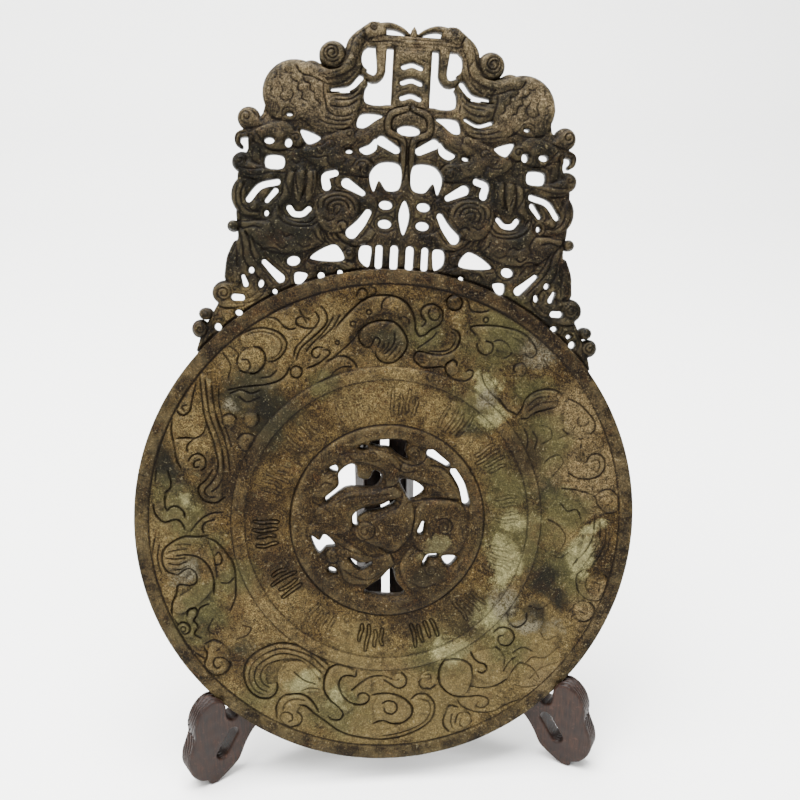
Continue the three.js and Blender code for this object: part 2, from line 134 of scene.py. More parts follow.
def ovalPath(x, y, wide, high, turned=0.0, count=40):
    angle = np.linspace(0, 2 * math.pi, count, endpoint=False)
    c, s = math.cos(math.radians(turned)), math.sin(math.radians(turned))
    a, b = wide * np.cos(angle), high * np.sin(angle)
    return np.stack([x + a * c - b * s, y + a * s + b * c], 1)


def spiralPath(x, y, outer, inner, start, turns):
    count = int(14 * abs(turns)) + 4
    share = np.linspace(0, 1, count)
    angle = math.radians(start) + share * turns * 2 * math.pi
    reach = outer + (inner - outer) * share
    return np.stack([x + reach * np.cos(angle), y + reach * np.sin(angle)], 1)


class Sheet:
    def __init__(self, low, high, step):
        self.step = step
        self.low = np.array(low, float)
        self.countX = int((high[0] - low[0]) / step) + 1
        self.countY = int((high[1] - low[1]) / step) + 1
        xs = low[0] + np.arange(self.countX) * step
        ys = low[1] + np.arange(self.countY) * step
        self.x, self.y = np.meshgrid(xs, ys)

    def window(self, points, margin):
        low = (points.min(0) - margin - self.low) / self.step
        high = (points.max(0) + margin - self.low) / self.step
        cols = slice(max(int(low[0]), 0), min(int(high[0]) + 2, self.countX))
        rows = slice(max(int(low[1]), 0), min(int(high[1]) + 2, self.countY))
        return rows, cols

    def along(self, points, margin, closed=False):
        place = self.window(points, margin)
        gx, gy = self.x[place], self.y[place]
        near = np.full(gx.shape, 1e9)
        share = np.zeros(gx.shape)
        inside = np.zeros(gx.shape, bool)
        ring = np.vstack([points, points[:1]]) if closed else points
        steps = np.linalg.norm(np.diff(ring, axis=0), axis=1)
        total = steps.sum()
        gone = 0.0
        for k in range(len(ring) - 1):
            ax, ay = ring[k]
            dx, dy = ring[k + 1] - ring[k]
            if steps[k] < 1e-9:
                continue
            px, py = gx - ax, gy - ay
            t = np.clip((px * dx + py * dy) / steps[k] ** 2, 0, 1)
            reach = np.hypot(px - t * dx, py - t * dy)
            closer = reach < near
            near = np.where(closer, reach, near)
            share = np.where(closer, (gone + t * steps[k]) / total, share)
            gone += steps[k]
            if closed:
                above = (ay > gy) != (ay + dy > gy)
                crossing = ax + (gy - ay) * dx / (dy if abs(dy) > 1e-12 else 1e-12)
                inside ^= above & (gx < crossing)
        return place, near, share, inside


def ribbonOutside(sheet, points, first, last, margin):
    place, near, share, _ = sheet.along(points, margin + max(first, last))
    return place, near - (first + (last - first) * share)


def patchOutside(sheet, points, margin):
    place, near, _, inside = sheet.along(points, margin, closed=True)
    return place, np.where(inside, -near, near)


# Flat closed mesh from a shape on the grid, with its own front and back heights


def slabMesh(sheet, shape, front, back, wallRows=1, wallBulge=None):
    rows, cols = shape.shape
    index = np.arange(rows * cols).reshape(rows, cols)
    a, b = index[:-1, :-1].ravel(), index[:-1, 1:].ravel()
    c, d = index[1:, 1:].ravel(), index[1:, :-1].ravel()
    flat = shape.ravel()
    low = np.minimum(np.minimum(flat[a], flat[b]), np.minimum(flat[c], flat[d]))
    high = np.maximum(np.maximum(flat[a], flat[b]), np.maximum(flat[c], flat[d]))
    full = low > 0
    cut = (high > 0) & ~full
    whole = np.concatenate([
        np.stack([a[full], b[full], c[full]], 1),
        np.stack([a[full], c[full], d[full]], 1),
    ])
    edgy = np.concatenate([
        np.stack([a[cut], b[cut], c[cut]], 1),
        np.stack([a[cut], c[cut], d[cut]], 1),
    ])
    within = flat[edgy] > 0
    count = within.sum(1)
    whole = np.concatenate([whole, edgy[count == 3]])

    def rotated(tri, mask, odd):
        first = np.argmax(mask == odd, 1)
        order = (first[:, None] + np.arange(3)[None]) % 3
        return np.take_along_axis(tri, order, 1)

    one = rotated(edgy[count == 1], within[count == 1], True)
    two = rotated(edgy[count == 2], within[count == 2], False)
    total = rows * cols

    def edgeKey(p, q):
        return np.minimum(p, q).astype(np.int64) * total + np.maximum(p, q)

    oneAB, oneCA = edgeKey(one[:, 0], one[:, 1]), edgeKey(one[:, 2], one[:, 0])
    twoAB, twoCA = edgeKey(two[:, 0], two[:, 1]), edgeKey(two[:, 2], two[:, 0])
    keys, place = np.unique(np.concatenate([oneAB, oneCA, twoAB, twoCA]), return_inverse=True)
    n1, n2 = len(one), len(two)
    oneAB, oneCA = place[:n1] + total, place[n1:2 * n1] + total
    twoAB = place[2 * n1:2 * n1 + n2] + total
    twoCA = place[2 * n1 + n2:] + total
    p, q = keys // total, keys % total
    t = np.clip(flat[p] / (flat[p] - flat[q] + 1e-12), 0.06, 0.94)
    xs = np.concatenate([sheet.x.ravel(), sheet.x.ravel()[p] * (1 - t) + sheet.x.ravel()[q] * t])
    ys = np.concatenate([sheet.y.ravel(), sheet.y.ravel()[p] * (1 - t) + sheet.y.ravel()[q] * t])
    inner = np.where(flat[p] > 0, p, q)
    topEdge, lowEdge = front["edge"].ravel()[inner], back["edge"].ravel()[inner]
    top = np.concatenate([front["height"].ravel(), topEdge])
    bottom = np.concatenate([back["height"].ravel(), lowEdge])
    faces = np.concatenate([
        whole,
        np.stack([one[:, 0], oneAB, oneCA], 1),
        np.stack([twoAB, two[:, 1], two[:, 2]], 1),
        np.stack([twoAB, two[:, 2], twoCA], 1),
    ])
    rim = np.concatenate([np.stack([oneAB, oneCA], 1), np.stack([twoCA, twoAB], 1)])
    used = np.unique(faces)
    fresh = np.full(len(xs), -1)
    fresh[used] = np.arange(len(used))
    faces, rim = fresh[faces], fresh[rim]
    xs, ys, top, bottom = xs[used], ys[used], top[used], bottom[used]
    n = len(used)
    places = [np.stack([xs, ys, top], 1), np.stack([xs, ys, bottom], 1)]
    allFaces = [faces, faces[:, ::-1] + n]
    rimPoints = np.unique(rim)
    slotOf = np.full(n, -1)
    slotOf[rimPoints] = np.arange(len(rimPoints))
    levels = [np.arange(n)]
    for row in range(1, wallRows):
        share = row / wallRows
        start = 2 * n + (row - 1) * len(rimPoints)
        height = top[rimPoints] * (1 - share) + bottom[rimPoints] * share
        ring = np.stack([xs[rimPoints], ys[rimPoints], height], 1)
        if wallBulge is not None:
            ring = wallBulge(ring)
        places.append(ring)
        level = np.full(n, -1)
        level[rimPoints] = start + np.arange(len(rimPoints))
        levels.append(level)
    levels.append(np.arange(n) + n)
    for upper, lower in zip(levels[:-1], levels[1:]):
        u, v = rim[:, 0], rim[:, 1]
        allFaces.append(np.stack([upper[v], upper[u], lower[u]], 1))
        allFaces.append(np.stack([upper[v], lower[u], lower[v]], 1))
    return np.concatenate(places), np.concatenate(allFaces)


def meshFrom(name, places, faces):
    mesh = bpy.data.meshes.new(name)
    mesh.vertices.add(len(places))
    mesh.vertices.foreach_set("co", np.asarray(places, np.float32).ravel())
    mesh.loops.add(len(faces) * 3)
    mesh.loops.foreach_set("vertex_index", np.asarray(faces, np.int32).ravel())
    mesh.polygons.add(len(faces))
    mesh.polygons.foreach_set("loop_start", np.arange(len(faces), dtype=np.int32) * 3)
    mesh.polygons.foreach_set("loop_total", np.full(len(faces), 3, np.int32))
    mesh.update(calc_edges=True)
    return mesh


def linked(name, mesh):
    thing = bpy.data.objects.new(name, mesh)
    bpy.context.scene.collection.objects.link(thing)
    return thing


def baked(thing):
    graph = bpy.context.evaluated_depsgraph_get()
    mesh = bpy.data.meshes.new_from_object(thing.evaluated_get(graph))
    mesh.name = thing.name
    old = thing.data
    thing.modifiers.clear()
    thing.data = mesh
    bpy.data.meshes.remove(old)


def placesOf(mesh):
    co = np.zeros(len(mesh.vertices) * 3, np.float32)
    mesh.vertices.foreach_get("co", co)
    return co.reshape(-1, 3).astype(float)


# Jade

jade = {
    "discRadius": 118.0,
    "thickness": 8.0,
    "rimLine": 111.8,
    "bandOuter": 72.8,
    "bandInner": 67.6,
    "centreRing": 45.5,
    "crestFront": -0.4,
    "crestThickness": 7.2,
    "crestEdge": 1.3,
    "discEdge": 0.9,
    "centreEdge": 1.3,
    "backEdgeShare": 0.8,
    "grooveHalf": 0.64,
    "gridStep": 0.45,
    "quickStep": 0.8,
    "triangles": 190000,
    "outlineReach": 5.0,
    "frontZone": -3.2,
    "wallZone": 1.2,
    "sharpDegrees": 50,
    "farOutside": -9.0,
    "crestOverlap": 6.0,
    "grooveCurve": 0.8,
    "grooveFade": 0.08,
    "grooveStart": 0.45,
    "bandSoft": 2.2,
    "centreSoft": 3.0,
    "crestSoft": 2.6,
    "roundSoft": 0.8,
    "crestLineDepth": 0.85,
}

step = jade["gridStep"]
sheet = Sheet((-121, -121), (121, 230), step)
fromCentre = np.hypot(sheet.x, sheet.y)


def bothSides(items):
    out = []
    for item in items:
        out.append(item)
        flipped = dict(item)
        flipped["path"] = item["path"] * np.array([-1.0, 1.0])
        out.append(flipped)
    return out


def oval(x, y, wide, high, turned=0.0):
    return {"kind": "patch", "path": ovalPath(x, y, wide, high, turned)}


def patch(points):
    return {"kind": "patch", "path": smoothPath(points, closed=True)}


def plate(points):
    return {"kind": "patch", "path": np.array(points, float)}


def ribbon(points, first, last=None):
    return {"kind": "ribbon", "path": smoothPath(points), "first": first, "last": first if last is None else last}


def outsideOf(item, margin):
    if item["kind"] == "patch":
        return patchOutside(sheet, item["path"], margin)
    return ribbonOutside(sheet, item["path"], item["first"], item["last"], margin)


crestSideEdge = [
    (-4, 60), (80, 60), (92, 76), (90, 84), (83.5, 97), (77.5, 110), (75, 129), (76.3, 139),
    (76.3, 157), (72, 168), (72.3, 176), (66, 184), (64, 193), (22, 196), (20, 191.4), (-4, 191.4),
]
crestLimbs = bothSides([
    plate(crestSideEdge),
    oval(51.8, 193.8, 14.8, 14.8),
    oval(35.8, 211.4, 6.3, 6.3),
    oval(17.6, 222.3, 5.4, 5.1),
    oval(72, 181.4, 5.2, 5.2),
    oval(74.2, 162, 4.8, 4.6),
    oval(68, 147.6, 10.9, 10.6),
    oval(77.3, 133.3, 2.8, 2.7),
    oval(79.6, 103.1, 6.1, 5.6),
    oval(88.2, 93, 3.3, 2.8),
    oval(90.5, 86, 3.9, 4.2),
    ribbon([(75.2, 125), (76.6, 119), (76.2, 111)], 2.2, 4.4),
    ribbon([(68, 175.6), (73, 175), (76.4, 173.6), (76.6, 170.4), (75, 168.8)], 2.4, 1),
    ribbon([(18, 224.4), (11, 226), (5.5, 224.6), (2.4, 222.6)], 1.9, 0.8),
    ribbon([(20, 222), (25.4, 216.6), (26.6, 208.6), (30, 202.4), (38, 200), (45, 203)], 4, 5.6),
    ribbon([(14.3, 217), (14.3, 204.6), (17, 202.2), (21.6, 204.4), (21.4, 207)], 2.7, 1.3),
    ribbon([(24.5, 200), (22.6, 195), (26, 186)], 4.4, 5),
])
crestMiddle = [
    plate([(-8.8, 190), (8.8, 190), (8.8, 217.5), (-8.8, 217.5)]),
    plate([(-21, 216.2), (21, 216.2), (21, 222), (-21, 222)]),
    plate([(-22.6, 186.2), (22.6, 186.2), (22.6, 191.4), (-22.6, 191.4)]),
    plate([(-2.2, 221), (2.2, 221), (1.2, 224.6), (0, 226.5), (-1.2, 224.6)]),
]
crestPierced = bothSides([
    patch([(18.3, 216), (22, 214.6), (22.6, 209), (20.4, 206.4), (18.2, 206.8)]),
    ribbon([(10.8, 214.6), (10.8, 195.6)], 1, 1.2),
    patch([(10, 192), (20.4, 192), (19.4, 199.6), (10, 199.8)]),
    ribbon([(23, 202.4), (27.4, 197.8), (35.4, 196.4)], 1.3, 0.7),
    patch([(12, 186.4), (22, 186.4), (23.4, 181), (20.4, 180.6), (15, 184.4)]),
    ribbon([(5.4, 171.8), (12, 175.4)], 1.8, 2.3),
    patch([(14.6, 176.4), (17.4, 173.6), (22, 171), (19, 168.8), (14.4, 171.4)]),
    oval(26.6, 169.6, 1.5, 0.9, -10),
    patch([(3.2, 165), (12.4, 165.4), (16.6, 160), (14.6, 152.6), (12.4, 157.6), (8.6, 153.4), (3.2, 154.4)]),
    ribbon([(32.4, 159.8), (36.6, 158), (36, 153.6)], 1.5, 1.9),
    ribbon([(19.6, 151.6), (27, 155.6)], 1.3, 2.3),
    oval(8.7, 146.8, 3, 2),
    oval(8.7, 138.2, 3, 2),
    ribbon([(16.6, 143), (19.6, 138), (23.6, 133.4)], 1.5, 2.6),
    patch([(26.6, 121.2), (30.8, 127.6), (42, 121)]),
    oval(49.5, 119.2, 2.9, 2.1, -10),
    patch([(43, 113.4), (48.4, 113.8), (48.2, 109.2), (45.6, 109.2)]),
    ribbon([(62.8, 118), (58.6, 114), (55.2, 111)], 1.1, 2),
    oval(28, 115, 1.2, 1.2),
    patch([(56, 165.4), (63.6, 165.4), (63.6, 160.6), (56, 160.6)]),
    ribbon([(58.4, 154.2), (66, 151.8), (70.8, 145.8)], 1.4, 1.4),
    ribbon([(59, 150.2), (62.6, 145.6)], 1.3, 1),
    oval(62.6, 140, 1, 1.3),
    ribbon([(43.6, 143), (46.4, 140.6), (50.4, 140.6), (52.4, 143)], 1.2, 1.3),
    oval(54, 184.2, 1.4, 0.8),
    oval(62.6, 172.2, 2.2, 1.5),
    oval(54, 171.8, 1.6, 2),
    patch([(48.8, 178), (39.6, 174.8), (45, 171.8)]),
    oval(68.4, 114, 1.3, 1.4),
    ribbon([(72, 110.8), (70.8, 107.4)], 0.9, 1.2),
    oval(63.8, 108, 1.2, 1.7, 15),
    ribbon([(72.4, 101.2), (75.6, 101.2)], 1.4, 1.5),
    oval(73.4, 94.2, 1.6, 1.3),
    oval(82.6, 87.2, 1.6, 1.7),
    ribbon([(3.6, 127), (3.6, 119.4)], 1.8, 1.8),
    ribbon([(10.6, 127), (10.6, 119.4)], 1.6, 1.6),
    patch([(14.6, 127.6), (19, 127.4), (19.4, 121.4), (15.4, 118.4), (14.4, 122)]),
]) + [
    ribbon([(-3.9, 208.4), (0, 209.6), (3.9, 208.4)], 1.1),
    ribbon([(-4, 201.6), (0, 202.8), (4, 201.6)], 1.1),
    ribbon([(-3.9, 194.8), (0, 196), (3.9, 194.8)], 1.1),
    oval(0, 180.6, 5.2, 2.3),
    patch([(0, 149.4), (2.4, 143), (0, 133.6), (-2.4, 143)]),
    ribbon([(25.6, 187), (31.4, 184.6), (37.4, 186.4)], 0.8),
    oval(80.6, 91, 1.2, 1),
    oval(-57.4, 104.8, 1.1, 1.1),
    oval(-36.6, 113.2, 1.5, 1.5),
]
centrePierced = [
    patch([(-10, 36.8), (-5, 38.2), (6.8, 38.2), (6.4, 34), (8, 29.6), (3.6, 31.4), (-1, 35), (-6, 35.4)]),
    oval(-13.2, 34.6, 1.6, 1, 10),
    patch([(-28.6, 23.6), (-25.6, 25.2), (-24.6, 22.2)]),
    patch([(-24, 21.4), (-18.8, 26), (-16.4, 25.4), (-15, 20), (-9.6, 19.4), (-7.4, 23.6), (-4, 21.4),
           (-6.6, 16), (-20, 15), (-26.4, 10.4), (-29.4, 8), (-29.6, 9.6), (-23.8, 15.6)]),
    patch([(5.2, 19.6), (11.2, 19.4), (16.6, 15.2), (10.4, 10.4), (8, 13.4)]),
    ribbon([(19, 33), (27, 28)], 2, 1.1),
    ribbon([(30, 25), (34.6, 18), (37, 10.4)], 1.4, 1.7),
    ribbon([(2, 9), (-3, 6.2), (-11.6, 4.2), (-15.4, 1), (-15, -2.4)], 0.9, 1.1),
    ribbon([(17, -0.6), (16, -5)], 0.8, 1.4),
    patch([(-35.4, -9), (-31.6, -11), (-29.6, -8), (-24.2, -13.2), (-28.4, -14.2), (-31.4, -17.2)]),
    oval(-24.8, -25.4, 2, 1.2, -25),
    patch([(-17.2, -18.8), (-12.4, -21), (-6.4, -20.6), (-11.6, -24.4)]),
    patch([(-9, -35), (-1.4, -28.4), (3.4, -23.4), (5.6, -29.6), (10, -35.4), (0, -36.6)]),
    ribbon([(18.6, -20.4), (20.4, -17), (24.2, -16.4)], 0.7, 0.7),
    patch([(27.2, -17), (34, -16.8), (30.4, -21.4)]),
]

crestShape = np.full(sheet.x.shape, jade["farOutside"])
for item in crestLimbs + crestMiddle:
    place, outside = outsideOf(item, jade["outlineReach"])
    crestShape[place] = np.maximum(crestShape[place], -outside)
for item in crestPierced:
    place, outside = outsideOf(item, jade["outlineReach"])
    crestShape[place] = np.minimum(crestShape[place], outside)
discShape = jade["discRadius"] - fromCentre
for item in centrePierced:
    place, outside = outsideOf(item, jade["outlineReach"])
    discShape[place] = np.minimum(discShape[place], outside)
onDisc = fromCentre < jade["discRadius"]
wellInside = fromCentre <= jade["discRadius"] - jade["crestOverlap"]
shape = np.where(wellInside, discShape, np.maximum(discShape, crestShape))
print("jade outline ready", shape.shape)

# Carving tools: level is what stands up, carved is what is cut in

level = np.zeros(sheet.x.shape)
carved = np.zeros(sheet.x.shape)


def lineProfile(reach, half):
    return np.clip(1 - (reach / half), 0, 1) ** jade["grooveCurve"]


def incise(points, half=None, depth=1.0, smooth=True):
    half = half or jade["grooveHalf"]
    run = smoothPath(points) if smooth else np.asarray(points, float)
    place, near, share, _ = sheet.along(run, half + 0.6)
    fromStart = np.clip(share / jade["grooveFade"] + jade["grooveStart"], 0, 1)
    fromEnd = np.clip((1 - share) / jade["grooveFade"] + jade["grooveStart"], 0, 1)
    fade = fromStart * fromEnd
    carved[place] = np.maximum(carved[place], depth * fade * lineProfile(near, half))


def body(points, first, last, height=1.0, outline=0.85, tip=0.25):
    run = smoothPath(points)
    place, near, share, _ = sheet.along(run, max(first, last) + 1.5)
    thinning = np.clip((1 - share) / 0.42, 0, 1)
    half = (first + (last - first) * share) * (tip + (1 - tip) * np.sqrt(thinning * (2 - thinning)))
    half = half * (0.82 + 0.18 * np.clip(share / 0.12, 0, 1))
    edge = near - half
    cover = np.clip(-edge / 0.6, 0, 1)
    dome = np.sqrt(np.clip(1 - (near / (half * 1.2)) ** 2, 0, 1))
    level[place] = level[place] * (1 - cover) + height * dome * cover
    carved[place] *= 1 - cover
    carved[place] = np.maximum(carved[place], outline * lineProfile(np.abs(edge), jade["grooveHalf"]))


def ringLine(x, y, r, depth=1.0):
    incise(ovalPath(x, y, r, r, 0, 24)[list(range(24)) + [0]], depth=depth, smooth=False)


def spiral(x, y, outer, inner, start, turns, depth=1.0):
    incise(spiralPath(x, y, outer, inner, start, turns), depth=depth, smooth=False)


def swell(points, height, soft):
    place, outside = patchOutside(sheet, smoothPath(points, closed=True), 0.5)
    share = np.clip(-outside / soft, 0, 1)
    level[place] = np.maximum(level[place], height * np.sqrt(share * (2 - share)))


def roundSwell(x, y, r, height):
    swell(ovalPath(x, y, r, r, 0, 12), height, r * jade["roundSoft"])


def lifted():
    made = level.copy(), carved.copy()
    level[:] = 0
    carved[:] = 0
    return made


# Outer band: low swells as (height, outline), round ones as (x, y, radius), then the cut lines as (depth, points)


bandSwells = [
    (1.0, [(-24, 95), (-16, 103.4), (-6, 105.6), (2.4, 103), (7, 95), (7, 88), (4.6, 90), (3, 94), (-4, 98),
        (-12, 96), (-19, 90), (-25, 82), (-30, 88)]),
    (1.4, [(-17.4, 88.6), (-10.6, 93.4), (-2, 93.2), (3.4, 87.6), (4, 81.4), (-1.4, 75.8), (-8, 76.4), (-12, 81.4),
        (-17, 84)]),
    (1.1, [(10.6, 99.2), (14.6, 102.6), (19.4, 100), (20, 96), (14, 91), (10, 89), (9, 92), (12, 95.4)]),
    (1.1, [(25.4, 91.6), (28.6, 88), (25, 81.6), (16.6, 80), (9, 80.2), (9.6, 75.6), (13, 74), (20.6, 74.6),
        (27, 80), (26, 86)]),
    (0.9, [(35, 93), (50, 93.6), (58, 91), (64.6, 84), (60, 82.4), (53, 82.4), (44, 83.6), (38.6, 82.4), (38, 88)]),
    (1.2, [(62, 61), (66, 64.2), (72, 65.6), (78, 64), (75, 58.4), (68, 55.6), (63, 52), (60.4, 54)]),
    (1.0, [(82.6, 61.6), (92.6, 55), (95.4, 48), (90, 43.6), (83, 45.6), (80.6, 52)]),
    (0.9, [(90, 39), (92.6, 32.6), (96, 36), (101, 34), (101.6, 29), (96, 24.6), (88, 25), (84, 31)]),
    (1.0, [(90.6, 16), (100, 18), (109.6, 16), (110, 10), (104, 7.6), (96, 8)]),
    (0.9, [(99, 0), (104, -8), (100, -17), (92, -19), (94, -10), (96, -2)]),
    (0.9, [(42, 71), (48, 62), (58, 54), (61, 58), (54, 66), (46, 76)]),
    (1.5, [(31, -68), (29.6, -75), (31, -81), (36, -84.6), (42, -84), (45, -76), (43.6, -69), (37, -66.6)]),
    (1.0, [(45, -64), (46.6, -67.6), (51.6, -69.6), (51, -73), (47, -74), (54, -79), (62, -76), (64, -66),
        (56, -61)]),
    (1.0, [(2, -85.6), (10, -86), (16.4, -91), (15.6, -96.4), (8, -99.6), (0, -98), (-2, -91)]),
    (0.8, [(17, -87), (23, -85.6), (27.4, -92), (24, -99), (14, -105), (2, -107), (8, -102), (18, -97)]),
    (1.0, [(34, -91), (32.6, -98), (36, -103), (44, -102), (46.4, -96), (41, -92)]),
    (1.3, [(-25, -71.6), (-36, -63.6), (-48, -61.8), (-58, -66), (-63.6, -74), (-62.6, -83), (-56, -88),
        (-49.4, -86.4), (-49, -81), (-53, -81.6), (-54, -74), (-48, -69.4), (-38, -69), (-28, -78)]),
    (1.0, [(-37, -70), (-29, -78), (-27, -84), (-34, -85), (-44, -86), (-48, -82), (-47, -72)]),
    (1.2, [(-20, -71), (-25.4, -76), (-25.6, -84), (-20, -91), (-17, -96), (-11, -91), (-18, -84), (-18.6, -78),
        (-12, -75)]),
    (1.1, [(-4, -77), (-11, -83), (-9, -90), (-5, -89.6), (-4, -84)]),
    (1.1, [(-47.6, -97), (-45, -89), (-38, -86.4), (-31, -91), (-28.6, -95), (-36, -91.6), (-39, -96), (-38, -101),
        (-44, -102.4)]),
    (1.3, [(-82, -68), (-82.6, -74), (-77, -77.6), (-71.6, -73), (-73, -64), (-80, -61.6)]),
    (1.4, [(-102, -16), (-94, -11.4), (-84, -13), (-80, -24), (-80, -34), (-88, -44), (-97, -48), (-98.6, -42),
        (-90, -35), (-92, -27), (-102, -27), (-104, -21)]),
    (0.8, [(-83, -12), (-75, -17), (-71.6, -26), (-77, -31), (-80, -22)]),
    (1.2, [(-96, -53), (-91, -54), (-88, -48), (-90, -46), (-92.6, -49), (-88, -59), (-94, -59)]),
    (1.0, [(-108.6, 3), (-107, -1.4), (-103, -3.6), (-97, -2.6), (-94, 2), (-92, 9), (-96, 16), (-101, 12),
        (-104, 6)]),
    (1.2, [(-86, 19), (-88.4, 11), (-84, 6.6), (-79, 7), (-78, 20), (-78.6, 33), (-81, 44), (-84, 62), (-90, 66),
        (-88.6, 52), (-84, 36), (-81, 26)]),
    (1.1, [(-91.6, 60), (-93.6, 49), (-97, 46.6), (-99, 49), (-97, 56)]),
    (1.0, [(-101, 34), (-92, 36), (-87, 40), (-87.6, 46), (-83, 32), (-86, 22), (-96, 21.6), (-100, 27)]),
    (1.2, [(-72, 84), (-62, 87.4), (-54, 85), (-52, 80), (-55, 74.6), (-60, 74), (-62, 78), (-70, 79)]),
    (1.6, [(-68, 79), (-62, 77.4), (-60.8, 73), (-64.6, 67.6), (-70, 67.6), (-73, 72)]),
    (0.9, [(-35, 99), (-33, 93), (-38, 86), (-45, 77), (-46.6, 80), (-41, 88), (-36.6, 94)]),
    (1.1, [(-31, 78.6), (-36.6, 80.4), (-39, 76.6), (-40, 72), (-33, 75)]),
    (1.0, [(-30, 74.6), (-24, 76), (-19.6, 73), (-24, 71.6), (-30, 66), (-36, 63), (-34, 70)]),
    (1.0, [(-60, 92.4), (-53, 89), (-46, 91), (-41, 89.6), (-44, 97), (-52, 98)]),
]
for height, points in bandSwells:
    swell(points, height, jade["bandSoft"])
for x, y, r in (
    (25.3, 104.3, 3.4), (58.6, 75, 3), (-46, 68.5, 2.6), (-65.6, 45.4, 3.4), (-67, 34.6, 4.2), (-76, 44.4, 3.2),
    (6, -91.6, 3.6), (24, -77, 4), (9.6, -78.4, 3.6), (41.6, -97.6, 3.8), (101, -29, 7.4), (97, -41, 5),
    (-76.4, -72, 4.6), (-93, -55.4, 2.8), (-89.4, -32, 3.4), (-17.3, 105.7, 2.5), (16.3, 98.3, 2.6),
    (64.6, -45, 4.6), (59.6, -55, 4.6), (-89.4, 25.6, 3.4), (-42.4, -98.6, 3.4), (26, 73.6, 3), (97.6, 30, 2.6),
    (43, 84, 3.4), (-36.6, 77.6, 2.4),
):
    roundSwell(x, y, r, 1.35)

